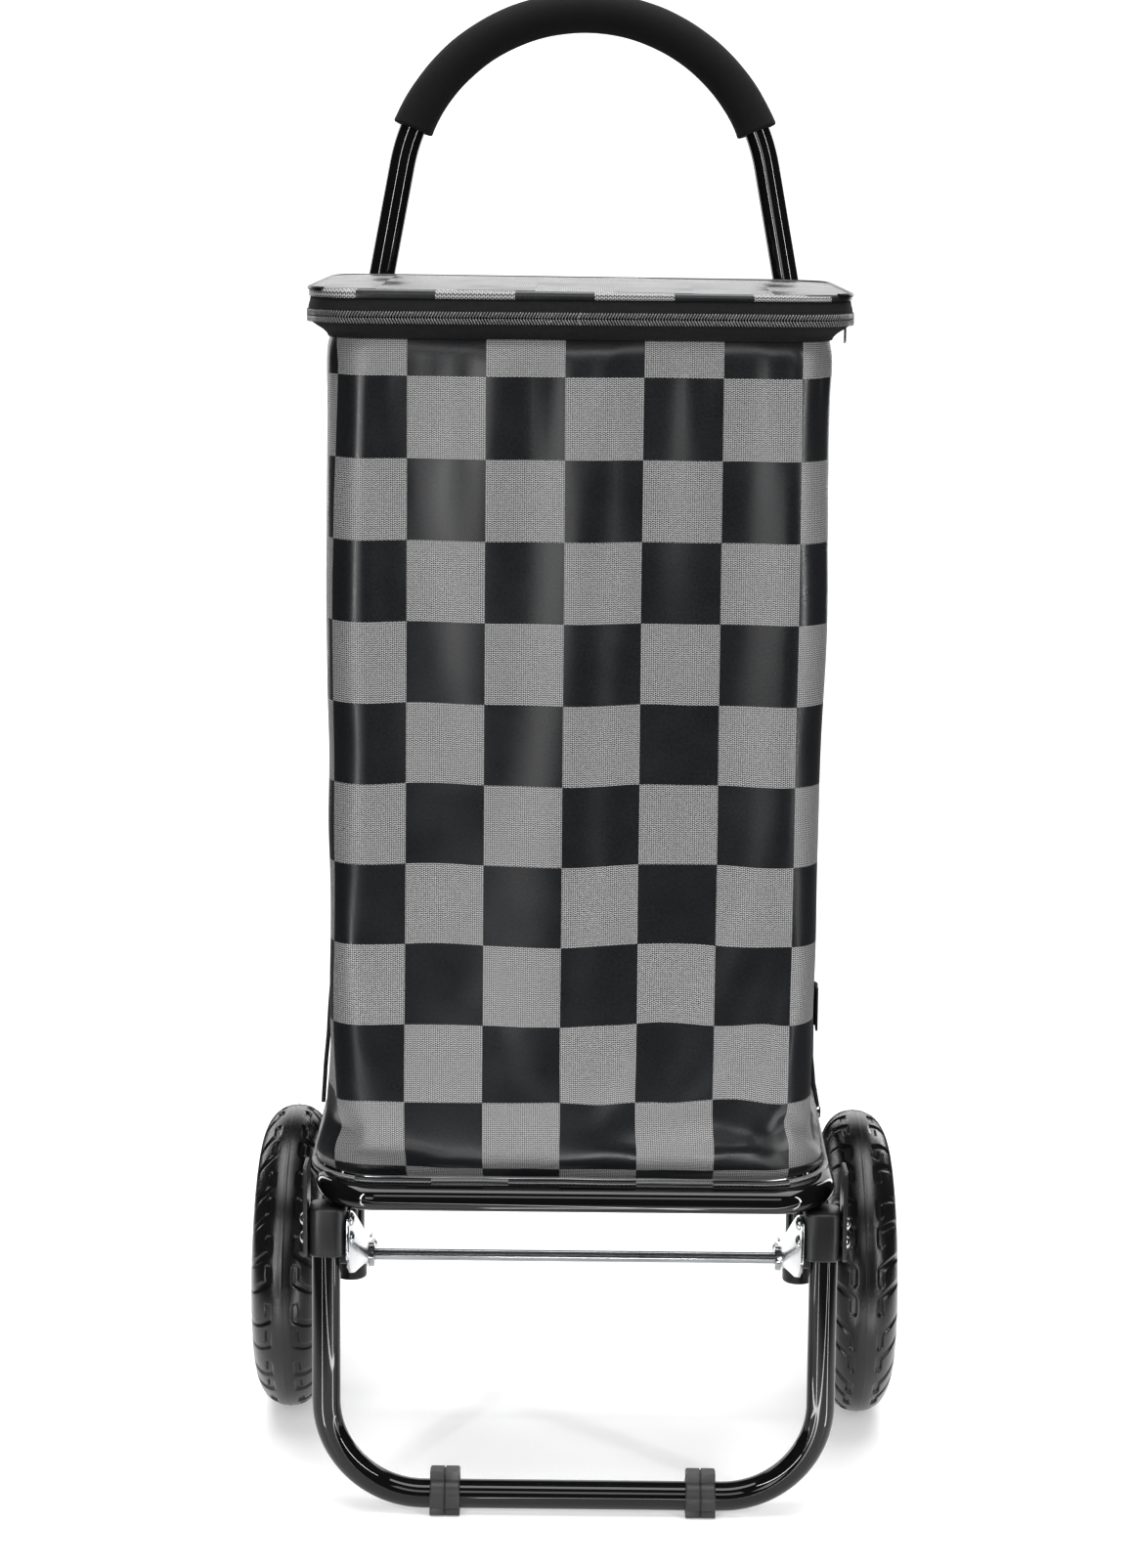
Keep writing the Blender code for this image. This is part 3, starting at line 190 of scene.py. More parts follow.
floor_fade = add_node(paper, "ShaderNodeMapRange", Value=floor_reach.outputs["Value"], From_Min=0.44,
                      From_Max=0.66)
floor_fade.interpolation_type = "SMOOTHSTEP"
floor_ray = add_node(paper, "ShaderNodeLightPath")
floor_power = add_node(paper, "ShaderNodeMapRange", Value=floor_ray.outputs["Is Camera Ray"],
                       To_Min=0.05, To_Max=SEEN_WHITE)
floor_glow = add_node(paper, "ShaderNodeEmission", Strength=floor_power.outputs["Result"])
floor_mix = add_node(paper, "ShaderNodeMixShader", Fac=floor_fade.outputs["Result"])
paper.links.new(floor_shader.outputs["BSDF"], floor_mix.inputs[1])
paper.links.new(floor_glow.outputs["Emission"], floor_mix.inputs[2])
paper.links.new(floor_mix.outputs["Shader"], paper.nodes["Material Output"].inputs["Surface"])
floor_mesh.materials.append(floor_paper)
floor = bpy.data.objects.new("floor", floor_mesh)
scene.collection.objects.link(floor)
print("studio:", len(bpy.data.lights), "lamps")

# %% [markdown]
# ## Shader groups
# Grain, wear, weave and checks turn up in more than one finish. Each is a node group with named
# inputs and outputs, so a finish only says how coarse or how strong it wants the effect.


# %% Helpers for node trees
def new_group(name, kind, inputs, outputs):
    """An empty node group with its sockets: (name, socket type, start value)."""
    tree = bpy.data.node_groups.new(name, kind)
    for label, socket_type, value in inputs:
        socket = tree.interface.new_socket(name=label, in_out="INPUT", socket_type=socket_type)
        if value is not None:
            socket.default_value = value
    for label, socket_type in outputs:
        tree.interface.new_socket(name=label, in_out="OUTPUT", socket_type=socket_type)
    return tree, tree.nodes.new("NodeGroupInput").outputs, tree.nodes.new("NodeGroupOutput").inputs


def sum_node(tree, operation, first, second=None, third=None):
    """One Math node; each input is a socket or a number."""
    node = tree.nodes.new("ShaderNodeMath")
    node.operation = operation
    for socket, value in zip(node.inputs, (first, second, third)):
        if value is not None:
            fill_input(tree, socket, value)
    return node.outputs[0]


def noise_node(tree, vector, scale, detail=2.0):
    node = add_node(tree, "ShaderNodeTexNoise", Vector=vector, Scale=scale, Detail=detail)
    return node.outputs[0]


def wave_node(tree, length, pitch):
    """A sine wave along a measure, once for each pitch."""
    turned = sum_node(tree, "MULTIPLY", sum_node(tree, "DIVIDE", length, pitch), math.tau)
    return sum_node(tree, "SINE", turned)


FLOAT, VECTOR = "NodeSocketFloat", "NodeSocketVector"

# %% Grain: a fine roughness and height, as on moulded plastic, foam or paint
grain, grain_in, grain_out = new_group(
    "grain", "ShaderNodeTree",
    [("Vector", VECTOR, None), ("Scale", FLOAT, 900.0), ("Roughness", FLOAT, 0.4),
     ("Spread", FLOAT, 0.1)],
    [("Roughness", FLOAT), ("Height", FLOAT), ("Patches", FLOAT)],
)
fine = noise_node(grain, grain_in["Vector"], grain_in["Scale"], 3.0)
patches = noise_node(grain, grain_in["Vector"], 28.0, 3.0)
both = sum_node(grain, "MULTIPLY_ADD", fine, 0.45, sum_node(grain, "MULTIPLY", patches, 0.55))
swing = sum_node(grain, "SUBTRACT", both, 0.5)
grain.links.new(sum_node(grain, "MULTIPLY_ADD", swing, grain_in["Spread"], grain_in["Roughness"]),
                grain_out["Roughness"])
grain.links.new(fine, grain_out["Height"])
grain.links.new(patches, grain_out["Patches"])

# %% Wear: a mask that finds rubbed edges, broken up by noise
wear, wear_in, wear_out = new_group(
    "edge_wear", "ShaderNodeTree",
    [("Vector", VECTOR, None), ("Amount", FLOAT, 0.5)],
    [("Mask", FLOAT)],
)
pointed = wear.nodes.new("ShaderNodeNewGeometry").outputs["Pointiness"]
edge = sum_node(wear, "MULTIPLY", sum_node(wear, "SUBTRACT", pointed, 0.53), 9.0)
broken = sum_node(wear, "MULTIPLY", edge, noise_node(wear, wear_in["Vector"], 160.0, 4.0))
mask = sum_node(wear, "MULTIPLY", broken, wear_in["Amount"])
mask.node.use_clamp = True
wear.links.new(mask, wear_out["Mask"])

# %% Weave: crossing threads on a surface's own flat measure, in metres
weave, weave_in, weave_out = new_group(
    "plain_weave", "ShaderNodeTree",
    [("Vector", VECTOR, None), ("Pitch", FLOAT, 0.0006)],
    [("Height", FLOAT), ("Light", FLOAT)],
)
weave_split = weave.nodes.new("ShaderNodeSeparateXYZ")
weave.links.new(weave_in["Vector"], weave_split.inputs[0])
across_wave, along_wave = (wave_node(weave, weave_split.outputs[i], weave_in["Pitch"]) for i in (0, 1))
crossing = sum_node(weave, "MULTIPLY", across_wave, along_wave)
weave.links.new(sum_node(weave, "MULTIPLY_ADD", crossing, 0.5, 0.5), weave_out["Height"])
weave.links.new(noise_node(weave, weave_in["Vector"], 260.0, 4.0), weave_out["Light"])

# %% Checks: dark satin squares and squares with a zigzag of light threads
CHECK_WIDTH = 0.0482
CHECK_HEIGHT = 0.0498
THREAD_PITCH = 0.00132
checks, checks_in, checks_out = new_group(
    "checked_cloth", "ShaderNodeTree",
    [("Vector", VECTOR, None), ("Width", FLOAT, CHECK_WIDTH), ("Height", FLOAT, CHECK_HEIGHT),
     ("Pitch", FLOAT, THREAD_PITCH)],
    [("Squares", FLOAT), ("Threads", FLOAT), ("Relief", FLOAT), ("Patches", FLOAT), ("Speckle", FLOAT)],
)
split = checks.nodes.new("ShaderNodeSeparateXYZ")
checks.links.new(checks_in["Vector"], split.inputs[0])
u, v = split.outputs[0], split.outputs[1]
columns = sum_node(checks, "FLOOR", sum_node(checks, "DIVIDE", u, checks_in["Width"]))
rows = sum_node(checks, "FLOOR", sum_node(checks, "DIVIDE", v, checks_in["Height"]))
squares = sum_node(checks, "FLOORED_MODULO", sum_node(checks, "ADD", columns, rows), 2.0)
zigzag = sum_node(checks, "PINGPONG", sum_node(checks, "DIVIDE", u, checks_in["Pitch"]), 1.0)
climb = sum_node(checks, "DIVIDE", v, checks_in["Pitch"])
phase = sum_node(checks, "MULTIPLY", sum_node(checks, "MULTIPLY_ADD", zigzag, 0.5, climb), math.tau)
ridge = sum_node(checks, "MULTIPLY_ADD", sum_node(checks, "SINE", phase), 0.5, 0.5)
strand = wave_node(checks, u, checks_in["Pitch"])
bundle = sum_node(checks, "MULTIPLY_ADD", strand, 0.32, ridge)
fuzz = noise_node(checks, checks_in["Vector"], 620.0, 2.0)
threads = sum_node(checks, "MULTIPLY_ADD", sum_node(checks, "SUBTRACT", fuzz, 0.5), 0.5, bundle)
checks.links.new(squares, checks_out["Squares"])
checks.links.new(threads, checks_out["Threads"])
checks.links.new(fuzz, checks_out["Speckle"])
checks.links.new(sum_node(checks, "MULTIPLY", ridge, squares), checks_out["Relief"])
checks.links.new(noise_node(checks, checks_in["Vector"], 32.0, 3.0), checks_out["Patches"])
print("shader groups:", [g.name for g in bpy.data.node_groups])

# %% [markdown]
# ## Finishes
# A moulded or painted finish is one colour broken up by grain, with lighter rubbed edges. The
# numbers that are the same all over a surface sit on the shader's own sockets, where an exporter
# can read them.


# %% Moulded and painted finishes
def group_node(tree, group, vector, **values):
    node = tree.nodes.new("ShaderNodeGroup")
    node.node_tree = group
    tree.links.new(vector, node.inputs["Vector"])
    for label, value in values.items():
        node.inputs[label].default_value = value
    return node


def new_finish(name, **sockets):
    """A material with its shader, and the sockets that are the same all over."""
    material = bpy.data.materials.new(name)
    material.use_nodes = True
    shader = material.node_tree.nodes["Principled BSDF"]
    for label, value in sockets.items():
        shader.inputs[label.replace("_", " ")].default_value = value
    return material, material.node_tree, shader


def mix_colour(tree, factor, first, second):
    """Colour between two; each is a socket or three numbers."""
    node = tree.nodes.new("ShaderNodeMix")
    node.data_type = "RGBA"
    tree.links.new(factor, node.inputs[0])
    for socket, value in ((node.inputs[6], first), (node.inputs[7], second)):
        fill_input(tree, socket, (*value, 1.0) if isinstance(value, tuple) else value)
    return node.outputs[2]


def add_bump(tree, shader, height, distance, strength=1.0):
    bump = add_node(tree, "ShaderNodeBump", Strength=strength, Distance=distance, Height=height)
    tree.links.new(bump.outputs["Normal"], shader.inputs["Normal"])


def moulded(name, colour, worn, roughness, spread, scale, bump, wear_amount, **sockets):
    """A finish from grain and wear, on the object's own coordinates."""
    material, tree, shader = new_finish(name, **sockets)
    place = tree.nodes.new("ShaderNodeTexCoord").outputs["Object"]
    surface = group_node(tree, grain, place, Scale=scale, Roughness=roughness, Spread=spread)
    rubbed = group_node(tree, wear, place, Amount=wear_amount)
    lighter = tuple(c * 1.6 for c in colour)
    tone = mix_colour(tree, surface.outputs["Patches"], tuple(c * 0.7 for c in colour), lighter)
    tree.links.new(mix_colour(tree, rubbed.outputs["Mask"], tone, worn), shader.inputs["Base Color"])
    tree.links.new(surface.outputs["Roughness"], shader.inputs["Roughness"])
    add_bump(tree, shader, surface.outputs["Height"], bump)
    return material


finishes = {
    "black_gloss_paint": moulded("gloss_paint", (0.0045, 0.0045, 0.005), (0.03, 0.03, 0.03), 0.045,
                                 0.03, 240.0, 0.000005, 0.3),
    "black_foam": moulded("grip_foam", (0.0062, 0.0060, 0.0060), (0.020, 0.020, 0.020), 0.93, 0.10,
                          2300.0, 0.00030, 0.2, Specular_IOR_Level=0.25, Sheen_Weight=0.06),
    "black_satin_plastic": moulded("satin_plastic", (0.010, 0.010, 0.0105), (0.06, 0.06, 0.06), 0.36,
                                   0.12, 1200.0, 0.00003, 0.5),
    "dark_grey_plastic": moulded("clip_plastic", (0.020, 0.020, 0.021), (0.09, 0.09, 0.09), 0.38,
                                 0.14, 1500.0, 0.00003, 0.6),
    "tyre_rubber": moulded("tyre_rubber", (0.0070, 0.0069, 0.0068), (0.034, 0.033, 0.032), 0.24, 0.22,
                           1500.0, 0.00010, 0.4, Specular_IOR_Level=0.55),
    "rim_plastic": moulded("rim_plastic", (0.011, 0.011, 0.0115), (0.06, 0.06, 0.06), 0.34, 0.15,
                           1100.0, 0.00004, 0.5),
    "board_plastic": moulded("board_plastic", (0.020, 0.020, 0.021), (0.08, 0.08, 0.08), 0.55, 0.2,
                             800.0, 0.00006, 0.4),
    "zinc_chrome": moulded("bright_plate", (0.40, 0.41, 0.42), (0.62, 0.62, 0.63), 0.16, 0.20, 420.0,
                           0.00002, 0.4, Metallic=1.0),
    "slider_metal": moulded("slider_metal", (0.22, 0.22, 0.23), (0.55, 0.55, 0.56), 0.28, 0.16, 700.0,
                            0.00002, 0.8, Metallic=1.0),
    "zip_teeth_grey": moulded("coil_nylon", (0.10, 0.10, 0.105), (0.46, 0.46, 0.46), 0.20, 0.12,
                              900.0, 0.00001, 0.3, Coat_Weight=0.3),
    "black_vinyl": moulded("piping_vinyl", (0.0055, 0.0055, 0.006), (0.03, 0.03, 0.03), 0.30, 0.16,
                           700.0, 0.00004, 0.4),
}

# %% [markdown]
# ## Cloth finishes
# The bag is coated polyester. Its checks follow the cloth and not the room, so they are drawn on
# a UV map that holds the cloth's own flat measure in metres. Tape and webbing are a plain weave
# on the same kind of map.

# %% Checked cloth, tape, webbing and lining
UV_NAME = "cloth"


def cloth_vector(tree):
    node = tree.nodes.new("ShaderNodeUVMap")
    node.uv_map = UV_NAME
    return node.outputs["UV"]


def checked_finish():
    material, tree, shader = new_finish("checked_cloth", Sheen_Weight=0.08, Sheen_Roughness=0.4,
                                        Specular_IOR_Level=0.55)
    cloth = group_node(tree, checks, cloth_vector(tree))
    light = mix_colour(tree, cloth.outputs["Threads"], (0.010, 0.010, 0.010), (0.40, 0.40, 0.40))
    dark = mix_colour(tree, cloth.outputs["Speckle"], (0.0010, 0.0010, 0.0012),
                      (0.0240, 0.0255, 0.0280))
    tree.links.new(mix_colour(tree, cloth.outputs["Squares"], dark, light), shader.inputs["Base Color"])
    satin = sum_node(tree, "MULTIPLY_ADD", cloth.outputs["Patches"], 0.22, 0.20)
    rough = sum_node(tree, "MULTIPLY_ADD", cloth.outputs["Squares"], 0.12, satin)
    tree.links.new(rough, shader.inputs["Roughness"])
    add_bump(tree, shader, cloth.outputs["Relief"], 0.00008)
    return material


def woven_finish(name, colour, fleck_and_crown_highlight, roughness, pitch, relief):
    material, tree, shader = new_finish(name, Roughness=roughness, Specular_IOR_Level=0.3,
                                        Sheen_Weight=0.05)
    cloth = group_node(tree, weave, cloth_vector(tree), Pitch=pitch)
    # The lighter colour goes where random flecks meet the weave's raised crowns. This is partly real
    # flecks and partly a painted highlight on the crowns, with painted shade in the hollows between
    # threads.
    fleck_and_crown_highlight_mask = sum_node(tree, "MULTIPLY", cloth.outputs["Light"], cloth.outputs["Height"])
    tree.links.new(mix_colour(tree, fleck_and_crown_highlight_mask, colour, fleck_and_crown_highlight), shader.inputs["Base Color"])
    add_bump(tree, shader, cloth.outputs["Height"], relief)
    return material


finishes["checked_fabric"] = checked_finish()
finishes["zip_tape_fabric"] = woven_finish("zip_tape", (0.003, 0.003, 0.003), (0.022, 0.022, 0.022),
                                           0.75, 0.0007, 0.00012)
finishes["black_webbing"] = woven_finish("webbing", (0.006, 0.006, 0.006), (0.045, 0.045, 0.045), 0.7,
                                         0.0016, 0.0003)
finishes["lining"] = woven_finish("lining", (0.020, 0.020, 0.021), (0.050, 0.050, 0.052), 0.6, 0.0008,
                                  0.00006)
print("finishes:", len(finishes))

# %% [markdown]
# ## Building blocks
# Most of the trolley is swept or turned: a ring of points is carried along a line or round an
# axis, and neighbouring rings are joined with quads. A few small helpers do this for every piece.


# %% Rings, sweeps and pieces
def dress(obj, body, stands_for=()):
    """Puts a finished piece on its body and hides the nodes that it stands for."""
    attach(obj, body)
    if stands_for:
        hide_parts(*stands_for)
    return obj


def object_from(name, bm, finish, smooth=40.0, tidy=True):
    """A mesh object from a bmesh, with its faces turned outwards."""
    if tidy:
        bmesh.ops.remove_doubles(bm, verts=bm.verts, dist=1e-6)
    bmesh.ops.recalc_face_normals(bm, faces=bm.faces)
    mesh = bpy.data.meshes.new(name)
    bm.to_mesh(mesh)
    bm.free()
    mesh.shade_smooth()
    mesh.set_sharp_from_angle(angle=math.radians(smooth))
    mesh.materials.append(finish)
    obj = bpy.data.objects.new(name, mesh)
    scene.collection.objects.link(obj)
    return obj


def quad_marks(lengths, i, row):
    """(length, row) at the four corners of the quad after column i."""
    return ((lengths[i], row), (lengths[i + 1], row), (lengths[i + 1], row + 1), (lengths[i], row + 1))


def skin(bm, rings, loop=False, caps=False):
    """Joins rings of equal count with quads."""
    made = [[bm.verts.new(p) for p in ring] for ring in rings]
    pairs = list(zip(made, made[1:])) + ([(made[-1], made[0])] if loop else [])
    for first, second in pairs:
        for i in range(len(first)):
            j = (i + 1) % len(first)
            bm.faces.new((first[i], first[j], second[j], second[i]))
    if caps:
        bm.faces.new(made[0][::-1])
        bm.faces.new(made[-1])
    return made


def slab(bm, outline, ends):
    """A flat plate: an outline (y, z) carried from one x to another."""
    skin(bm, [[Vector((x, y, z)) for y, z in outline] for x in ends], caps=True)


def oval(y, z, half_y, half_z, sides):
    """Points (y, z) round an oval."""
    return [(y + half_y * math.cos(t), z + half_z * math.sin(t)) for t in turns(sides)]


def rounded_path(corners, radii, steps):
    """A line through corners, each rounded to its radius."""
    points = [corners[0]]
    for before, here, after, radius in zip(corners, corners[1:], corners[2:], radii):
        back, ahead = (before - here).normalized(), (after - here).normalized()
        half = back.angle(ahead) / 2
        centre = here + (back + ahead).normalized() * (radius / math.sin(half))
        start = here + back * (radius / math.tan(half)) - centre
        axis = back.cross(ahead)
        for i in range(steps + 1):
            points.append(centre + Matrix.Rotation((2 * half - math.pi) * i / steps, 3, axis) @ start)
    points.append(corners[-1])
    return points


def sweep_rings(path, normal, radii, sides):
    """Circles square to a flat line; radii holds one radius, or one for each point."""
    rings = []
    for i, point in enumerate(path):
        before, after = path[max(i - 1, 0)], path[min(i + 1, len(path) - 1)]
        along = (after - before).normalized()
        across = along.cross(normal).normalized()
        radius = radii[i] if hasattr(radii, "__len__") else radii
        rings.append([point + (across * math.cos(t) + normal * math.sin(t)) * radius
                      for t in turns(sides)])
    return rings


def turns(sides):
    return [math.tau * k / sides for k in range(sides)]


def tube(name, path, normal, radius, wall, finish, sides=40):
    """A bent tube with open ends and a wall."""
    bm = bmesh.new()
    outer = sweep_rings(path, normal, radius, sides)
    inner = sweep_rings(path, normal, radius - wall, sides)
    skin(bm, outer + inner[::-1], loop=True)
    return object_from(name, bm, finish, 50.0)


ALONG_X = (Vector((1, 0, 0)), Vector((0, 1, 0)), Vector((0, 0, 1)))


def turned_rings(profile, centre, sides, basis=ALONG_X):
    """Rings round an axis through a centre, from (along, radius) pairs."""
    along, across, up = basis
    return [
        [centre + along * a + (across * math.cos(t) + up * math.sin(t)) * r for t in turns(sides)]
        for a, r in profile
    ]


def add_bevel(obj, width, segments=2, angle=35.0):
    bevel = obj.modifiers.new("bevel", "BEVEL")
    bevel.width, bevel.segments = width, segments
    bevel.limit_method = "ANGLE"
    bevel.angle_limit = math.radians(angle)
    bevel.harden_normals = False
    return obj


def apply_modifiers(obj):
    """Turns the evaluated shape into a plain mesh, keeping its materials."""
    bpy.context.view_layer.update()
    graph = bpy.context.evaluated_depsgraph_get()
    mesh = bpy.data.meshes.new_from_object(obj.evaluated_get(graph), preserve_all_data_layers=True,
                                           depsgraph=graph)
    obj.modifiers.clear()
    obj.data = mesh
    return obj


def rounded_rectangle(left, right, front, back, corner, steps):
    """Points (x, y) round a rectangle with rounded corners, from the middle of the front."""
    centres = (
        (right - corner, front + corner, 0.75), (right - corner, back - corner, 0.0),
        (left + corner, back - corner, 0.25), (left + corner, front + corner, 0.5),
    )
    ring = []
    for x, y, start in centres:
        for i in range(steps + 1):
            t = math.tau * (start + 0.25 * i / steps)
            ring.append((x + corner * math.cos(t), y + corner * math.sin(t)))
    return ring


# %% Measures taken from the frame
def middle(node):
    low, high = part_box(node)
    return (low + high) / 2


foot_low, foot_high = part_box("foot_frame")
TUBE_R = (foot_high.y - foot_low.y) / 2
LEG_Y = (foot_high.y + foot_low.y) / 2
FRAME_HALF = foot_high.x - TUBE_R
AXLE = middle("axle")
LEAN = math.radians(4.5)
UPRIGHT_Y = AXLE.y + 0.030
WALL = 0.0012
FRAME_NORMAL = Vector((0, math.cos(LEAN), -math.sin(LEAN)))
UP_ALONG = Vector((0, math.sin(LEAN), math.cos(LEAN)))


def upright_y(z):
    """Where the leaning uprights' centre is at a height."""
    return UPRIGHT_Y + (z - AXLE.z) * math.tan(LEAN)


def frame_point(x, along):
    """A point in the leaning plane, measured up the uprights from the axle."""
    return Vector((x, UPRIGHT_Y, AXLE.z)) + UP_ALONG * along


print("tube", round(TUBE_R * 2000, 1), "mm, axle at", [round(c, 4) for c in AXLE])

# %% [markdown]
# ## The handle frame
# One steel tube goes up, leans inwards, turns over the arch and comes down again. It is a sweep
# of fine rings, because its highlights would show any flat facet.

# %% Handle tube, brace and foot
ARCH_RADIUS = 0.1276
HANDLE_INWARD = math.radians(10.2)
HANDLE_BEND = 0.080
GRIP_R = 0.0143
arch_top = (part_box("handle_grip")[1].z - GRIP_R - AXLE.z) / math.cos(LEAN)
arch_centre = arch_top - ARCH_RADIUS
apex = arch_centre + ARCH_RADIUS / math.sin(HANDLE_INWARD)
bend = apex - FRAME_HALF / math.tan(HANDLE_INWARD)
UPRIGHT_END = -0.024
corners = [frame_point(-FRAME_HALF, UPRIGHT_END), frame_point(-FRAME_HALF, bend), frame_point(0, apex),
           frame_point(FRAME_HALF, bend), frame_point(FRAME_HALF, UPRIGHT_END)]
side_line = rounded_path(corners[:3], [HANDLE_BEND], 10)[:-1]
arch_line = rounded_path(corners[1:4], [ARCH_RADIUS], 72)[1:-1]
other_side = [Vector((-p.x, p.y, p.z)) for p in side_line[::-1]]
paint = finishes["black_gloss_paint"]
handle = tube("handle_tube", side_line + arch_line + other_side, FRAME_NORMAL, TUBE_R, WALL, paint)
dress(handle, "frame", ["handle_frame"])

brace_low, brace_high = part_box("cross_brace")
brace_centre = (brace_low + brace_high) / 2
brace_line = [Vector((x, brace_centre.y, brace_centre.z)) for x in (brace_low.x, brace_high.x)]
brace = tube("brace_tube", brace_line, Vector((0, 1, 0)), (brace_high.z - brace_low.z) / 2, WALL, paint)
dress(brace, "frame", ["cross_brace"])

FOOT_BEND = 0.062
foot_z = foot_low.z + TUBE_R
foot_line = rounded_path(
    [Vector((-FRAME_HALF, LEG_Y, foot_high.z)), Vector((-FRAME_HALF, LEG_Y, foot_z)),
     Vector((FRAME_HALF, LEG_Y, foot_z)), Vector((FRAME_HALF, LEG_Y, foot_high.z))],
    [FOOT_BEND] * 2, 28,
)
foot = tube("foot_tube", foot_line, Vector((0, 1, 0)), TUBE_R, WALL, paint)
dress(foot, "frame", ["foot_frame"])
print("handle line has", len(side_line) * 2 + len(arch_line), "rings")

# %% [markdown]
# ## The foam grip
# A closed-cell foam sleeve is pushed over the arch. Its ends are cut square and bulge a little,
# and its skin is never quite even, so small smooth swellings are added along it.

# %% Foam grip
GRIP_START = math.radians(21.7)
GRIP_STEPS = 110
GRIP_SIDES = 48
END_ROUND = 0.0016
grip_line, grip_outer = [], []
grip_length = ARCH_RADIUS * (math.pi - 2 * GRIP_START)
for i in range(GRIP_STEPS + 1):
    share = 0.5 - 0.5 * math.cos(math.pi * i / GRIP_STEPS)
    t = GRIP_START + (math.pi - 2 * GRIP_START) * share
    grip_line.append(frame_point(-ARCH_RADIUS * math.cos(t), arch_centre + ARCH_RADIUS * math.sin(t)))
    from_end = min(share, 1 - share) * grip_length
    near = min(from_end / END_ROUND, 1.0)
    lip = 0.0005 * math.exp(-from_end / 0.004)
    swell = 0.00012 * noise.noise(Vector((share * 14.0, 2.0, 5.0)))
    grip_outer.append(GRIP_R - END_ROUND * (1 - math.sqrt(1 - (1 - near) ** 2)) + lip - 0.0004 + swell)
bm = bmesh.new()
grip_rings = sweep_rings(grip_line, FRAME_NORMAL, grip_outer, GRIP_SIDES)
for k, ring in enumerate(grip_rings):
    for m, point in enumerate(ring):
        axis_point = grip_line[k]
        out = (point - axis_point).normalized()
        ring[m] = point + out * 0.00014 * noise.noise(point * 60.0)
inner_rings = sweep_rings(grip_line, FRAME_NORMAL, TUBE_R + 0.0002, GRIP_SIDES)
skin(bm, grip_rings + inner_rings[::-1], loop=True)
grip = object_from("foam_grip", bm, finishes["black_foam"], 60.0)
dress(grip, "frame", ["handle_grip"])
print("grip", round(grip_length * 1000), "mm round the arch")

# %% [markdown]
# ## Sleeves, stop plates and end caps
# Each leg stands in a moulded socket with a flat inner side. A flat plate outside it keeps the
# tray from slipping off sideways. The uprights end in push-on cups.

# %% Sleeves
SATIN = finishes["black_satin_plastic"]
GAP = 0.0003


def sleeve_outline(low, high, shrink, count):
    """A level ring: square to the inside, rounder to the outside, evenly spread by angle."""
    centre = (low + high) / 2
    half_x = (high.x - low.x) / 2 - shrink
    half_y = (high.y - low.y) / 2 - shrink
    power = 3.6
    ring = []
    for t in turns(count):
        c, s = math.cos(t), math.sin(t)
        reach = (abs(c / half_x) ** power + abs(s / half_y) ** power) ** (-1 / power)
        ring.append((centre.x + c * reach, centre.y + s * reach))
    return ring


for side, mark in ((-1.0, "left"), (1.0, "right")):
    node = f"leg_sleeve_{mark}"
    low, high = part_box(node)
    count = 64
    levels = ((low.z, 0.0012), (low.z + 0.0004, 0.0005), (low.z + 0.0012, 0.0),
              (high.z - 0.0016, 0.0), (high.z - 0.0005, 0.0006), (high.z, 0.0016))
    rings = [[Vector((side * FRAME_HALF + (TUBE_R + GAP) * math.cos(t),
                      LEG_Y + (TUBE_R + GAP) * math.sin(t), z))
              for t in turns(count)] for z in (high.z - 0.002, low.z)]
    rings += [
        [Vector((x, y, z)) for x, y in sleeve_outline(low, high, shrink, count)]
        for z, shrink in levels
    ]
    bm = bmesh.new()
    skin(bm, rings, caps=True)
    dress(object_from(f"socket_{mark}", bm, SATIN, 30.0), "frame", [node])

# %% Stop plates and end caps
for side, mark in ((-1.0, "left"), (1.0, "right")):
    node = f"tray_stop_{mark}"
    low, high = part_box(node)
    radius = 0.003
    outline = []
    for y, z, start in ((high.y - radius, high.z - radius, 0.0),
                        (low.y + radius, high.z - radius, 0.25),
                        (low.y + radius, low.z + radius, 0.5), (high.y - radius, low.z + radius, 0.75)):
        for i in range(7):
            t = math.tau * (start + 0.25 * i / 6)
            outline.append((y + radius * math.cos(t), z + radius * math.sin(t)))
    bm = bmesh.new()
    slab(bm, outline, (low.x, high.x))
    plate = add_bevel(object_from(f"stop_plate_{mark}", bm, SATIN, 30.0), 0.0005)
    dress(apply_modifiers(plate), "frame", [node])
    node = f"upright_cap_{mark}"
    foot_end = frame_point(side * FRAME_HALF, UPRIGHT_END)
    outer, bore = TUBE_R + GAP + 0.0015, TUBE_R + GAP
    profile = [(0.0, 0.002), (0.0, bore), (0.013, bore), (0.0134, bore + 0.0006), (0.0130, outer),
               (0.0125, outer), (-0.0010, outer), (-0.0022, outer - 0.0004),
               (-0.0030, outer - 0.0016), (-0.0032, 0.002)]
    bm = bmesh.new()
    skin(bm, turned_rings(profile, foot_end, 48, (UP_ALONG, Vector((1, 0, 0)), FRAME_NORMAL)),
         caps=True)
    dress(object_from(f"end_cap_{mark}", bm, SATIN, 40.0), "frame", [node])
print("sleeves", round((high.z - low.z) * 1000, 1), "mm")

# %% [markdown]
# ## Bright side arms
# A pressed arm runs back from each sleeve to the axle. Its edge is rolled round the axle, which
# leaves a short barrel with a seam. The arm is a bevelled plate and the barrel is turned.

# %% Side arms and axle
CHROME = finishes["zinc_chrome"]


def smooth_outline(points):
    """A closed outline with rounded corners, by two passes of corner cutting."""
    for _ in range(2):
        cut = []
        for a, b in zip(points, points[1:] + points[:1]):
            cut.append((a[0] * 0.8 + b[0] * 0.2, a[1] * 0.8 + b[1] * 0.2))
            cut.append((a[0] * 0.2 + b[0] * 0.8, a[1] * 0.2 + b[1] * 0.8))
        points = cut
    return points


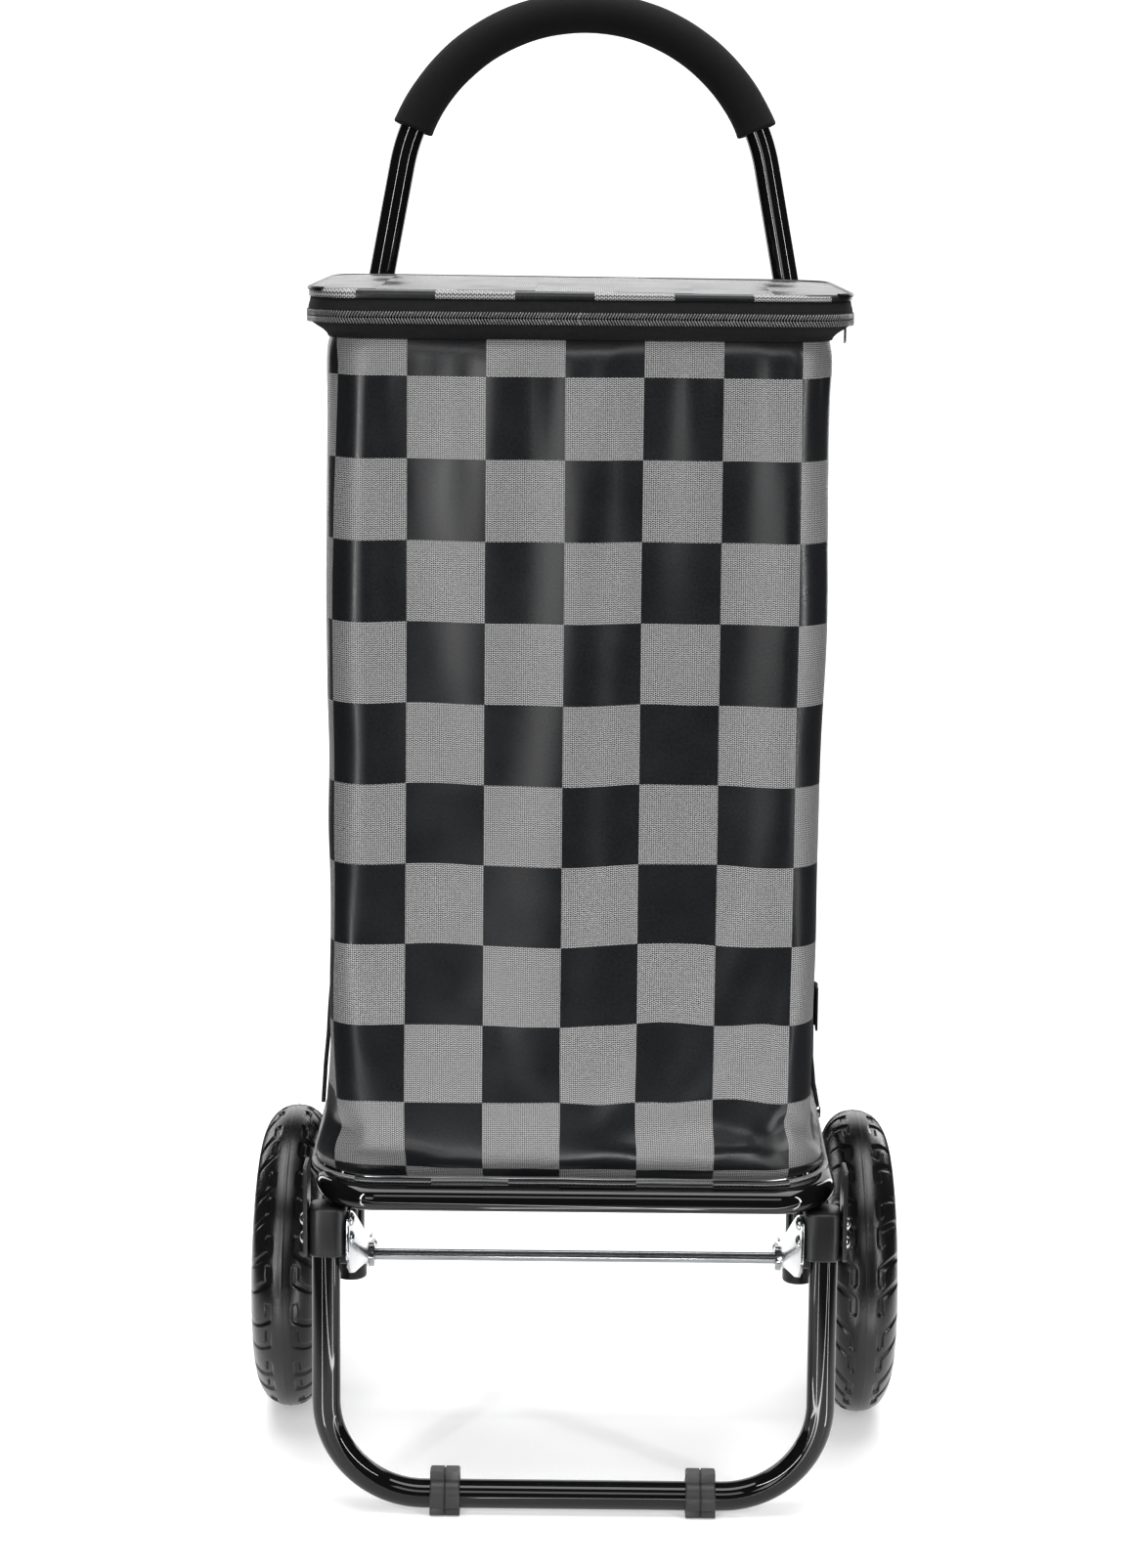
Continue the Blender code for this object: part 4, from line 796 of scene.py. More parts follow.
for side, mark in ((-1.0, "left"), (1.0, "right")):
    node = f"side_plate_{mark}"
    low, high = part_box(node)
    inner_x, outer_x = (high.x, low.x) if side < 0 else (low.x, high.x)
    face_x = outer_x - side * 0.0020
    tail_y = high.y
    outline = smooth_outline([
        (low.y, low.z + 0.068), (AXLE.y - 0.030, AXLE.z + 0.006), (AXLE.y - 0.004, AXLE.z - 0.0085),
        (tail_y - 0.006, AXLE.z - 0.0125), (tail_y, AXLE.z - 0.004), (tail_y - 0.006, AXLE.z + 0.0045),
        (AXLE.y + 0.004, AXLE.z + 0.0085), (low.y + 0.023, high.z), (low.y, high.z),
    ])
    bm = bmesh.new()
    slab(bm, outline, (face_x, outer_x))
    arm = add_bevel(object_from(f"arm_plate_{mark}", bm, CHROME, 30.0), 0.0004)
    apply_modifiers(arm)
    bm = bmesh.new()
    bm.from_mesh(arm.data)
    barrel = [(inner_x, 0.0043), (inner_x, 0.0078), (inner_x + side * 0.0006, 0.0085),
              (face_x - side * 0.0004, 0.0085),
              (face_x + side * 0.0008, 0.0092), (face_x + side * 0.0014, 0.0043)]
    skin(bm, turned_rings([(x - AXLE.x, r) for x, r in barrel], AXLE, 40), loop=True)
    rolled = object_from(f"side_arm_{mark}", bm, CHROME, 35.0, tidy=False)
    bpy.data.objects.remove(arm)
    dress(rolled, "frame", [node])

axle_low, axle_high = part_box("axle")
AXLE_R = (axle_high.z - axle_low.z) / 2
bm = bmesh.new()
profile = [(axle_low.x, AXLE_R - 0.0006), (axle_low.x + 0.0006, AXLE_R),
           (axle_high.x - 0.0006, AXLE_R), (axle_high.x, AXLE_R - 0.0006)]
skin(bm, turned_rings(profile, Vector((0, AXLE.y, AXLE.z)), 32), caps=True)
dress(object_from("axle_rod", bm, CHROME, 40.0), "frame", ["axle"])
print("axle", round(AXLE_R * 2000, 1), "mm")

# %% [markdown]
# ## Rivets with Geometry Nodes
# Eight domed rivets hold the sleeves, arms and ears. One head is turned once, and a node tree
# sets it on every point of a small carrier mesh, turned by an attribute that each point holds.


# %% Tree: one shape on many points
def run_tree(obj, tree, **values):
    """Runs a geometry tree on an object and keeps the result as a plain mesh."""
    modifier = obj.modifiers.new(tree.name, "NODES")
    modifier.node_group = tree
    for item in tree.interface.items_tree:
        label = item.name.replace(" ", "_")
        if item.in_out == "INPUT" and label in values:
            modifier[item.identifier] = values[label]
    return apply_modifiers(obj)


set_tree, set_in, set_out = new_group(
    "set_on_points", "GeometryNodeTree",
    [("Geometry", "NodeSocketGeometry", None), ("Shape", "NodeSocketObject", None),
     ("Size", FLOAT, 1.0), ("Finish", "NodeSocketMaterial", None)],
    [("Geometry", "NodeSocketGeometry")],
)
shape_info = add_node(set_tree, "GeometryNodeObjectInfo", Object=set_in["Shape"])
turn_attribute = add_node(set_tree, "GeometryNodeInputNamedAttribute", Name="turn")
turn_attribute.data_type = "FLOAT_VECTOR"
on_points = add_node(
    set_tree, "GeometryNodeInstanceOnPoints", Points=set_in["Geometry"], Scale=set_in["Size"],
    Instance=shape_info.outputs["Geometry"], Rotation=turn_attribute.outputs["Attribute"],
)
real = add_node(set_tree, "GeometryNodeRealizeInstances", Geometry=on_points.outputs["Instances"])
coat = add_node(set_tree, "GeometryNodeSetMaterial", Geometry=real.outputs["Geometry"],
                Material=set_in["Finish"])
set_tree.links.new(coat.outputs["Geometry"], set_out["Geometry"])


def set_on_points(name, shape, points, turned, finish, size=1.0):
    """Copies of a shape on points; turned holds one (x, y, z) turn for each."""
    mesh = bpy.data.meshes.new(name)
    mesh.from_pydata([tuple(p) for p in points], [], [])
    attribute = mesh.attributes.new("turn", "FLOAT_VECTOR", "POINT")
    attribute.data.foreach_set("vector", [c for t in turned for c in t])
    obj = bpy.data.objects.new(name, mesh)
    scene.collection.objects.link(obj)
    run_tree(obj, set_tree, Shape=shape, Size=size, Finish=finish)
    if "turn" in obj.data.attributes:
        obj.data.attributes.remove(obj.data.attributes["turn"])
    return obj


# %% Rivets
RIVET_HEAD_R = 0.0042
RIVET_RISE = 0.0026
head_profile = [(-0.0035, 0.0024), (0.0, 0.0024), (0.0, RIVET_HEAD_R), (0.0004, RIVET_HEAD_R)]
head_profile += [(RIVET_RISE * math.sin(a), RIVET_HEAD_R * math.cos(a))
                 for a in (0.35, 0.7, 1.05, 1.35)]
bm = bmesh.new()
skin(bm, turned_rings(head_profile, Vector(), 20), caps=True)
rivet_head = object_from("rivet_head", bm, CHROME)
rivet_nodes = [n for n in frame["nodes"] if "rivet" in n]
points, turned = [], []
for node in rivet_nodes:
    low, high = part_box(node)
    centre = (low + high) / 2
    for x, way in ((low.x + RIVET_RISE, math.pi), (high.x - RIVET_RISE, 0.0)):
        points.append((x, centre.y, centre.z))
        turned.append((0.0, 0.0, way))
rivets = set_on_points("rivets", rivet_head, points, turned, CHROME)
bpy.data.objects.remove(rivet_head)
dress(rivets, "frame", rivet_nodes)
print("rivet heads:", len(points))

# %% [markdown]
# ## Foot clips
# A dark grey clip is closed round the foot tube near each end. It has a split lug on top, a seam
# down its middle and a flat pad that stands on the floor.

# %% Foot clips
CLIP = finishes["dark_grey_plastic"]


def clip_profile(band, rise, rib, pad):
    """Outline (y, z) round the tube: a lug on top, a round band and a pad with a step."""
    start = math.asin(rib / band)
    arc = [(band * math.cos(t), foot_z + band * math.sin(t))
           for t in [math.pi / 2 - start - (math.pi / 2 - start) * i / 10 for i in range(11)]]
    half = [(rib, rise), *arc, (band * 0.985, foot_z * 0.72), (band * 0.95, 0.0058),
            (band * 0.90, 0.0050),
            (band * 0.93, 0.0042), (band * 0.93, 0.0010), (pad, 0.0)]
    return half + [(-y, z) for y, z in half[::-1]]


for side, mark in ((-1.0, "left"), (1.0, "right")):
    node = f"foot_clip_{mark}"
    low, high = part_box(node)
    band = (high.y - low.y) / 2
    width = high.x - low.x
    bm = bmesh.new()
    slices = [(0.0, 0.0010), (0.0008, 0.0), (width * 0.5 - 0.0006, 0.0), (width * 0.5 - 0.0002, 0.0010),
              (width * 0.5 + 0.0002, 0.0010), (width * 0.5 + 0.0006, 0.0), (width - 0.0008, 0.0),
              (width, 0.0010)]
    rings = []
    for x, shrink in slices:
        outline = clip_profile(band - shrink * 0.6, high.z - shrink, 0.0045 - shrink * 0.5,
                               band * 0.8 - shrink * 0.5)
        rings.append([Vector((low.x + x, LEG_Y + y, max(z, 0.0))) for y, z in outline])
    skin(bm, rings, caps=True)
    clip = object_from(f"clip_{mark}", bm, CLIP, 35.0)
    bm = bmesh.new()
    slab(bm, oval(LEG_Y, foot_z, TUBE_R + GAP, TUBE_R + GAP, 48), (low.x - 0.01, high.x + 0.01))
    bore = object_from("clip_bore", bm, CLIP)
    cut = clip.modifiers.new("bore", "BOOLEAN")
    cut.operation, cut.solver, cut.object = "DIFFERENCE", "EXACT", bore
    apply_modifiers(clip)
    bpy.data.objects.remove(bore)
    dress(clip, "frame", [node])
print("clips", round(width * 1000, 1), "mm wide")

# %% [markdown]
# ## The folding tray
# A bent rail with three cross bars carries the bag. It swings on pins in two small ears.

# %% Tray rail and bars
rail_low, rail_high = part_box("tray_loop")
RAIL_R = (rail_high.z - rail_low.z) / 2
rail_z = (rail_high.z + rail_low.z) / 2
rail_front = rail_low.y + RAIL_R
rail_line = rounded_path(
    [Vector((-FRAME_HALF, rail_high.y, rail_z)), Vector((-FRAME_HALF, rail_front, rail_z)),
     Vector((FRAME_HALF, rail_front, rail_z)), Vector((FRAME_HALF, rail_high.y, rail_z))],
    [0.032] * 2, 22,
)
rail = tube("tray_rail", rail_line, Vector((0, 0, 1)), RAIL_R, WALL, paint, 36)
dress(rail, "tray", ["tray_loop"])
bm = bmesh.new()
bar_nodes = [n for n in frame["nodes"] if n.startswith("tray_bar")]
for node in bar_nodes:
    low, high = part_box(node)
    centre, radius = (low + high) / 2, (high.z - low.z) / 2
    ends = [Vector((x, centre.y, centre.z)) for x in (low.x, high.x)]
    outer = sweep_rings(ends, Vector((0, 1, 0)), radius, 28)
    inner = sweep_rings(ends, Vector((0, 1, 0)), radius - WALL, 28)
    skin(bm, outer + inner[::-1], loop=True)
dress(object_from("tray_bars", bm, paint, 50.0), "tray", bar_nodes)
print("tray bars:", len(bar_nodes))

# %% [markdown]
# ## Tyres
# The tread repeats all the way round, so only one pitch of it is modelled: a patch of the tyre
# with two pairs of bent grooves pressed into it. A second node tree copies the patch round the
# hub and welds the joins. The wheel on the other side is the same wheel turned about.

# %% Tree: one pitch, copied round the hub
round_tree, round_in, round_out = new_group(
    "copy_round_hub", "GeometryNodeTree",
    [("Geometry", "NodeSocketGeometry", None), ("Count", "NodeSocketInt", 14), ("Weld", FLOAT, 0.00005),
     ("Finish", "NodeSocketMaterial", None)],
    [("Geometry", "NodeSocketGeometry")],
)
hub_points = add_node(round_tree, "GeometryNodePoints", Count=round_in["Count"])
step_index = add_node(round_tree, "GeometryNodeInputIndex").outputs[0]
full_turns = sum_node(round_tree, "MULTIPLY", step_index, math.tau)
step_turn = sum_node(round_tree, "DIVIDE", full_turns, round_in["Count"])
step_vector = add_node(round_tree, "ShaderNodeCombineXYZ", X=step_turn)
copies = add_node(
    round_tree, "GeometryNodeInstanceOnPoints", Points=hub_points.outputs[0],
    Instance=round_in["Geometry"], Rotation=step_vector.outputs[0],
)
solid = add_node(round_tree, "GeometryNodeRealizeInstances", Geometry=copies.outputs["Instances"])
weld = add_node(round_tree, "GeometryNodeMergeByDistance", Geometry=solid.outputs["Geometry"],
                Distance=round_in["Weld"])
rubbered = add_node(round_tree, "GeometryNodeSetMaterial", Geometry=weld.outputs["Geometry"],
                    Material=round_in["Finish"])
round_tree.links.new(rubbered.outputs["Geometry"], round_out["Geometry"])

# %% Tread patch
tyre_low, tyre_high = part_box("tyre_left")
WHEEL_R = (tyre_high.z - tyre_low.z) / 2
TYRE_HALF = (tyre_high.x - tyre_low.x) / 2
BORE_R = 0.0720
CROWN_DROP = 0.0275  # from the crown down to the bead
CROWN_POWER = 2.3
BEAD_SHARE = 0.76  # of the tyre's width
BEAD_STEP = 0.0028
SEAM_RISE = 0.00035
SEAM_WIDTH = 0.0004
TREAD_INSET = 0.0003  # keeps the seam within the tyre's radius
PITCH_COUNT = 14
GROOVE_DEPTH = 0.0016
GROOVE_HALF = 0.0020
GROOVE_EDGE = 0.0006
GROOVE_PAIR = 0.0195  # between the two grooves of a pitch
GROOVE_START = (0.0090, 0.0)  # across from the middle, and along the tread
GROOVE_BEND = (0.0090, 0.0095)
GROOVE_END = (0.0235, 0.0205)


def tyre_radius(x):
    """The tyre's outer radius at a distance x from its middle plane: a rounded crown."""
    share = min(abs(x) / TYRE_HALF, 1.0)
    return WHEEL_R - CROWN_DROP * (1 - math.sqrt(max(1 - share ** CROWN_POWER, 0.0)))


def from_line(px, py, start, end):
    """Distance from a point to a short straight line."""
    (ax, ay), (bx, by) = start, end
    dx, dy = bx - ax, by - ay
    t = max(0.0, min(1.0, ((px - ax) * dx + (py - ay) * dy) / (dx * dx + dy * dy)))
    return math.hypot(px - ax - t * dx, py - ay - t * dy)


def groove_depth(x, around, pitch):
    """How deep the tread is pressed at a place; x is across, around is along the tread."""
    nearest = 1.0
    for start in (0.0, GROOVE_PAIR):
        for wrap in (-pitch, 0.0, pitch):
            y = around - start - wrap
            leg = from_line(abs(x), y, GROOVE_START, GROOVE_BEND)
            slant = from_line(abs(x), y, GROOVE_BEND, GROOVE_END)
            nearest = min(nearest, leg, slant)
    edge = (GROOVE_HALF - nearest) / GROOVE_EDGE
    return GROOVE_DEPTH * max(0.0, min(1.0, 0.5 + edge))


across_steps = 92
around_steps = 54
pitch_length = math.tau * WHEEL_R / PITCH_COUNT
profile = []
for k in range(across_steps + 1):
    a = math.pi * (k / across_steps - 0.5)
    profile.append(TYRE_HALF * math.sin(a))
bead = TYRE_HALF * BEAD_SHARE
bm = bmesh.new()
grid = []
for j in range(around_steps + 1):
    t = math.tau / PITCH_COUNT * j / around_steps
    around = pitch_length * j / around_steps
    column = [(-bead, BORE_R), (-bead, BORE_R + BEAD_STEP)]
    for x in profile:
        fade = max(0.0, min(1.0, (1 - abs(x) / TYRE_HALF) / 0.02))
        radius = tyre_radius(x) - groove_depth(x, around, pitch_length) * fade
        seam = SEAM_RISE * math.exp(-((x / SEAM_WIDTH) ** 2))
        column.append((x, radius + seam - TREAD_INSET))
    column += [(bead, BORE_R + BEAD_STEP), (bead, BORE_R)]
    grid.append([bm.verts.new((x, r * math.cos(t), r * math.sin(t))) for x, r in column])
for first, second in zip(grid, grid[1:]):
    for k in range(len(first)):
        m = (k + 1) % len(first)
        bm.faces.new((first[k], first[m], second[m], second[k]))
patch = object_from("tread_patch", bm, finishes["tyre_rubber"], 50.0, tidy=False)
run_tree(patch, round_tree, Count=PITCH_COUNT, Finish=finishes["tyre_rubber"])
for side, mark in ((-1.0, "left"), (1.0, "right")):
    mesh = patch.data.copy()
    hub = middle(f"tyre_{mark}")
    turned_about = Matrix.Rotation(0.0 if side < 0 else math.pi, 4, "Z")
    mesh.transform(Matrix.Translation(hub) @ turned_about)
    bm = bmesh.new()
    bm.from_mesh(mesh)
    dress(object_from(f"tyre_tread_{mark}", bm, finishes["tyre_rubber"], 50.0), f"wheel_{mark}",
          [f"tyre_{mark}"])
print("tread: radius", round(WHEEL_R * 1000, 1), "mm,", PITCH_COUNT, "pitches")
bpy.data.objects.remove(patch)

# %% [markdown]
# ## Rims
# A moulded rim has a hub, a barrel with lips, and six spokes. The same tree copies one sixth of
# the spoked disc round the hub.

# %% Rims and hub caps
RIM = finishes["rim_plastic"]
SPOKES = 6
SPOKE_RINGS = (  # distance from the axle, half width, half depth
    (0.0125, 0.0105, 0.0075), (0.020, 0.0072, 0.0062), (0.034, 0.0058, 0.0052),
    (0.050, 0.0060, 0.0052), (0.060, 0.0082, 0.0062), (0.0690, 0.0120, 0.0085),
)
RIM_BEAD = TYRE_HALF * BEAD_SHARE + GAP


def lathe_shape(bm, profile, sides=96):
    skin(bm, turned_rings(profile, Vector(), sides), loop=True)


def spoke_sector():
    """One spoke with the walls beside it, as a closed tapering bar from hub to barrel."""
    bm = bmesh.new()
    rings = []
    for radius, half_wide, half_deep in SPOKE_RINGS:
        ring = []
        for t in turns(20):
            c, s = math.cos(t), math.sin(t)
            reach = (abs(c) ** 4 + abs(s) ** 4) ** -0.25
            ring.append(Vector((half_deep * c * reach, half_wide * s * reach, radius)))
        rings.append(ring)
    skin(bm, rings, caps=True)
    return object_from("spoke", bm, RIM, 35.0)


spokes = spoke_sector()
run_tree(spokes, round_tree, Count=SPOKES, Finish=RIM)
barrel = BORE_R - GAP
for side, mark in ((-1.0, "left"), (1.0, "right")):
    hub = middle(f"rim_{mark}")
    bm = bmesh.new()
    bm.from_mesh(spokes.data)
    hub_profile = [(-0.016, 0.0083), (-0.016, 0.0132), (-0.0152, 0.0140), (0.0, 0.0152),
                   (0.0152, 0.0140), (0.016, 0.0132), (0.016, 0.0083)]
    lathe_shape(bm, hub_profile, 64)
    half = [(0.0, barrel - 0.0048), (RIM_BEAD * 0.7, barrel - 0.0040), (RIM_BEAD, barrel - 0.0032),
            (RIM_BEAD + 0.0012, barrel - 0.0024), (RIM_BEAD + 0.0018, barrel - 0.0010),
            (RIM_BEAD + 0.0018, barrel + 0.0018), (RIM_BEAD + 0.0010, barrel + 0.0025),
            (RIM_BEAD, barrel + 0.0023), (RIM_BEAD, barrel)]
    lathe_shape(bm, [(-x, r) for x, r in half[::-1]] + half[1:])
    bmesh.ops.translate(bm, verts=bm.verts, vec=hub)
    dress(object_from(f"wheel_rim_{mark}", bm, RIM, 35.0, tidy=False), f"wheel_{mark}",
          [f"rim_{mark}"])
    low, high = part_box(f"hub_cap_{mark}")
    outer_x = low.x if side < 0 else high.x
    inner_x = high.x if side < 0 else low.x
    cap_r = (high.z - low.z) / 2
    way = -side
    dome = ((0.0028, cap_r - 0.0002), (0.0016, cap_r - 0.0012), (0.0006, cap_r * 0.78),
            (0.0003, cap_r * 0.60), (0.0008, cap_r * 0.55), (0.0008, 0.0012), (0.0020, 0.0012),
            (0.0026, cap_r - 0.0020))
    cap_profile = [(inner_x, cap_r - 0.0016), (inner_x, cap_r)]
    cap_profile += [(outer_x + way * inward, radius) for inward, radius in dome]
    bm = bmesh.new()
    skin(bm, turned_rings([(x - hub.x, r) for x, r in cap_profile], hub, 64), loop=True)
    dress(object_from(f"hub_cover_{mark}", bm, SATIN, 35.0), f"wheel_{mark}",
          [f"hub_cap_{mark}"])
bpy.data.objects.remove(spokes)
print("rims with", SPOKES, "spokes")

# %% [markdown]
# ## The bag
# The bag is one tall shell of coated cloth. Its outline changes with height: narrow at the
# waist, wider over the tray, tucked in under the zip and over the bottom seam. Rings of points
# follow that outline, and the cloth's flat measure is kept as a UV map.

# %% Bag outline
bag_low, bag_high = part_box("bag_shell")
lid_low, lid_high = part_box("lid_panel")
BAG_TOP = bag_high.z + 0.0062
BAG_BOTTOM = bag_low.z + 0.0004
LINING_THICK = 0.0016


def blend_levels(z, levels):
    """Smoothly interpolated values at a height, from rows of (height, value, ...)."""
    heights = [row[0] for row in levels]
    if z <= heights[0]:
        return levels[0][1:]
    for low_row, high_row in zip(levels, levels[1:]):
        if z <= high_row[0]:
            s = (z - low_row[0]) / (high_row[0] - low_row[0])
            s = s * s * (3 - 2 * s) * 0.5 + s * 0.5
            return [a + (b - a) * s for a, b in zip(low_row[1:], high_row[1:])]
    return levels[-1][1:]


# height, left edge, right edge, front, corner radius
BAG_LEVELS = [
    (0.217, -0.1660, 0.1590, -0.1330, 0.042),
    (0.225, -0.1680, 0.1605, -0.1352, 0.042),
    (0.245, -0.1668, 0.1570, -0.1370, 0.040),
    (0.280, -0.1640, 0.1535, -0.1375, 0.036),
    (0.345, -0.1595, 0.1520, -0.1392, 0.030),
    (0.440, -0.1570, 0.1505, -0.1385, 0.027),
    (0.500, -0.1535, 0.1502, -0.1375, 0.026),
    (0.620, -0.1545, 0.1504, -0.1352, 0.026),
    (0.710, -0.1575, 0.1512, -0.1335, 0.028),
    (0.730, -0.1588, 0.1540, -0.1332, 0.030),
    (0.7400, -0.1585, 0.1530, -0.1305, 0.030),
    (0.7475, -0.1560, 0.1515, -0.1255, 0.030),
]


def bag_back(z):
    """The bag's flat back, just ahead of the uprights."""
    low_back = upright_y(bag_low.z) - TUBE_R - 0.0045
    share = (z - bag_low.z) / (bag_high.z - bag_low.z)
    return low_back + (lid_high.y - low_back) * share


BAG_REAR_CORNER = 0.030
BAG_CORNER_STEPS = 9
BAG_FRONT_STEPS = 30
BAG_SIDE_STEPS = 20


def bag_ring(z):
    """A level ring of cloth: points and their flat distance from the middle of the front."""
    left, right, front, corner = blend_levels(z, BAG_LEVELS)
    back = bag_back(z)
    ring = []

    def straight(a, b, steps):
        for i in range(steps):
            s = i / steps
            ring.append((a[0] + (b[0] - a[0]) * s, a[1] + (b[1] - a[1]) * s))

    def arc(x, y, start, r):
        for i in range(BAG_CORNER_STEPS):
            t = math.tau * (start + 0.25 * i / BAG_CORNER_STEPS)
            ring.append((x + r * math.cos(t), y + r * math.sin(t)))

    rear = BAG_REAR_CORNER
    straight((0.0, front), (right - corner, front), BAG_FRONT_STEPS // 2)
    arc(right - corner, front + corner, 0.75, corner)
    straight((right, front + corner), (right, back - rear), BAG_SIDE_STEPS)
    arc(right - rear, back - rear, 0.0, rear)
    straight((right - rear, back), (left + rear, back), BAG_FRONT_STEPS)
    arc(left + rear, back - rear, 0.25, rear)
    straight((left, back - rear), (left, front + corner), BAG_SIDE_STEPS)
    arc(left + corner, front + corner, 0.5, corner)
    straight((left + corner, front), (0.0, front), BAG_FRONT_STEPS // 2)
    ring.append((0.0, front))
    lengths = [0.0]
    for a, b in zip(ring, ring[1:]):
        lengths.append(lengths[-1] + math.dist(a, b))
    return ring, lengths


BAG_ROWS = 64
BOTTOM_SAG = 0.0034


def bottom_sag(x, y):
    """How far the front of the bag's bottom seam hangs down."""
    ripple = 0.0006 * noise.noise(Vector((x * 22.0, y * 22.0, 1.0)))
    return BOTTOM_SAG * max(0.0, min(1.0, -y / 0.10)) + ripple


CHECK_PHASE_X = -0.0101
CHECK_PHASE_Z = 0.7222
TUCK = 0.005  # cloth lost in the bottom seam
TUCK_REACH = 0.020  # height over which the seam's pull dies away
CHECK_SKEW = -0.0008  # how far the columns drift to the right, for each metre of height
rows_z = [BAG_BOTTOM + (BAG_TOP - BAG_BOTTOM) * i / BAG_ROWS for i in range(BAG_ROWS + 1)]
cloth_rings, cloth_u, cloth_v = [], [], []
height_along = 0.0
previous = None
for z in rows_z:
    ring, lengths = bag_ring(z)
    front = ring[0][1]
    if previous is not None:
        height_along += math.hypot(z - previous[0], front - previous[1])
    previous = (z, front)
    cloth_rings.append([(x, y, z) for x, y in ring[:-1]])
    cloth_u.append(lengths)
    cloth_v.append(height_along)
top_v = float(np.interp(CHECK_PHASE_Z, rows_z, cloth_v))
cloth_v = [v - TUCK * math.exp(-(z - BAG_BOTTOM) / TUCK_REACH) for z, v in zip(rows_z, cloth_v)]
RING_COUNT = len(cloth_rings[0])
print("bag:", RING_COUNT, "columns,", BAG_ROWS, "rows,", round(cloth_u[32][-1], 3), "m round")


# %% Bag walls: settle the cloth
def bag_swell(point):
    """Small folds and dents: broad ones all over, finer ones near the top and bottom seams."""
    x, y, z = point
    broad = noise.noise(Vector((x * 9.0, y * 9.0, z * 7.0 + 3.1))) * 0.0034
    medium = noise.noise(Vector((x * 24.0, y * 24.0, z * 16.0 + 9.0))) * 0.0015
    near_top = math.exp(-((BAG_TOP - z) / 0.030))
    near_bottom = math.exp(-((z - BAG_BOTTOM) / 0.028))
    gather = noise.noise(Vector((x * 70.0, y * 70.0, z * 18.0))) * 0.0012 * (near_top + near_bottom)
    hold = min(1.0, (BAG_TOP - z) / 0.010, (z - BAG_BOTTOM) / 0.006)
    return (broad + medium + gather) * max(hold, 0.0)


def bag_walls():
    """The bag's four walls as an open tube of quads, with the cloth's UV map."""
    verts = []
    for ring in cloth_rings:
        count = len(ring)
        for i, (x, y, z) in enumerate(ring):
            before, after = ring[i - 1], ring[(i + 1) % count]
            out = Vector((after[1] - before[1], before[0] - after[0], 0)).normalized()
            p = Vector((x, y, z))
            back_hold = min(1.0, max(0.0, (bag_back(z) - y) / 0.02))
            p += out * bag_swell(p) * (0.15 + 0.85 * back_hold)
            p.z -= bottom_sag(x, y) * math.exp(-(z - BAG_BOTTOM) / TUCK_REACH)
            verts.append(p)
    faces = []
    for start in range(0, BAG_ROWS * RING_COUNT, RING_COUNT):
        above = start + RING_COUNT
        for i in range(RING_COUNT):
            j = (i + 1) % RING_COUNT
            faces.append((start + i, start + j, above + j, above + i))
    mesh = bpy.data.meshes.new("bag_cloth")
    mesh.from_pydata([tuple(v) for v in verts], [], faces)
    layer = mesh.uv_layers.new(name=UV_NAME)
    k = 0
    for r in range(BAG_ROWS):
        for i in range(RING_COUNT):
            for row, column in ((r, i), (r, i + 1), (r + 1, i + 1), (r + 1, i)):
                lengths = cloth_u[row]
                flat = lengths[column]
                if flat > lengths[-1] / 2:
                    flat -= lengths[-1]
                drift = CHECK_SKEW * (rows_z[row] - BAG_BOTTOM)
                layer.data[k].uv = (flat - CHECK_PHASE_X - drift + 20 * CHECK_WIDTH,
                                    cloth_v[row] - top_v + 20 * CHECK_HEIGHT)
                k += 1
    return mesh


CLOTH_FRAMES = 18
CLOTH_CAP = 0.007


def settle(obj, pinned):
    """Lets the cloth take its own shape between its held edges, and keeps the result."""
    rest = np.array([v.co for v in obj.data.vertices])
    group = obj.vertex_groups.new(name="held")
    group.add(pinned, 1.0, "REPLACE")
    cloth = obj.modifiers.new("cloth", "CLOTH")
    cloth.settings.quality = 6
    cloth.settings.mass = 0.25
    cloth.settings.tension_stiffness = 30.0
    cloth.settings.compression_stiffness = 12.0
    cloth.settings.shear_stiffness = 10.0
    cloth.settings.bending_stiffness = 2.5
    cloth.settings.vertex_group_mass = "held"
    cloth.settings.use_pressure = True
    cloth.settings.uniform_pressure_force = 0.10
    cloth.settings.shrink_min = -0.012
    cloth.settings.effector_weights.gravity = 0.6
    cloth.point_cache.frame_start, cloth.point_cache.frame_end = 1, CLOTH_FRAMES
    for step in range(1, CLOTH_FRAMES + 1):
        scene.frame_set(step)
    graph = bpy.context.evaluated_depsgraph_get()
    settled = obj.evaluated_get(graph).to_mesh()
    moved = np.array([v.co for v in settled.vertices])
    obj.evaluated_get(graph).to_mesh_clear()
    obj.modifiers.remove(cloth)
    shift = moved - rest
    size = np.linalg.norm(shift, axis=1, keepdims=True)
    capped = rest + shift * np.minimum(1.0, CLOTH_CAP / np.maximum(size, 1e-9))
    obj.data.vertices.foreach_set("co", capped.astype(np.float32).ravel())
    obj.data.update()
    scene.frame_set(1)
    return float(size.max())


bag_mesh = bag_walls()
bag = bpy.data.objects.new("bag_cloth", bag_mesh)
scene.collection.objects.link(bag)
back_columns = range(RING_COUNT // 2 - BAG_FRONT_STEPS // 2, RING_COUNT // 2 + BAG_FRONT_STEPS // 2)
top_rows = range(RING_COUNT * (BAG_ROWS - 1), RING_COUNT * (BAG_ROWS + 1))
held = [*range(RING_COUNT * 2), *top_rows]
held += [r * RING_COUNT + c for r in range(BAG_ROWS) for c in back_columns]
print("cloth moved at most", round(settle(bag, held) * 1000, 1), "mm")

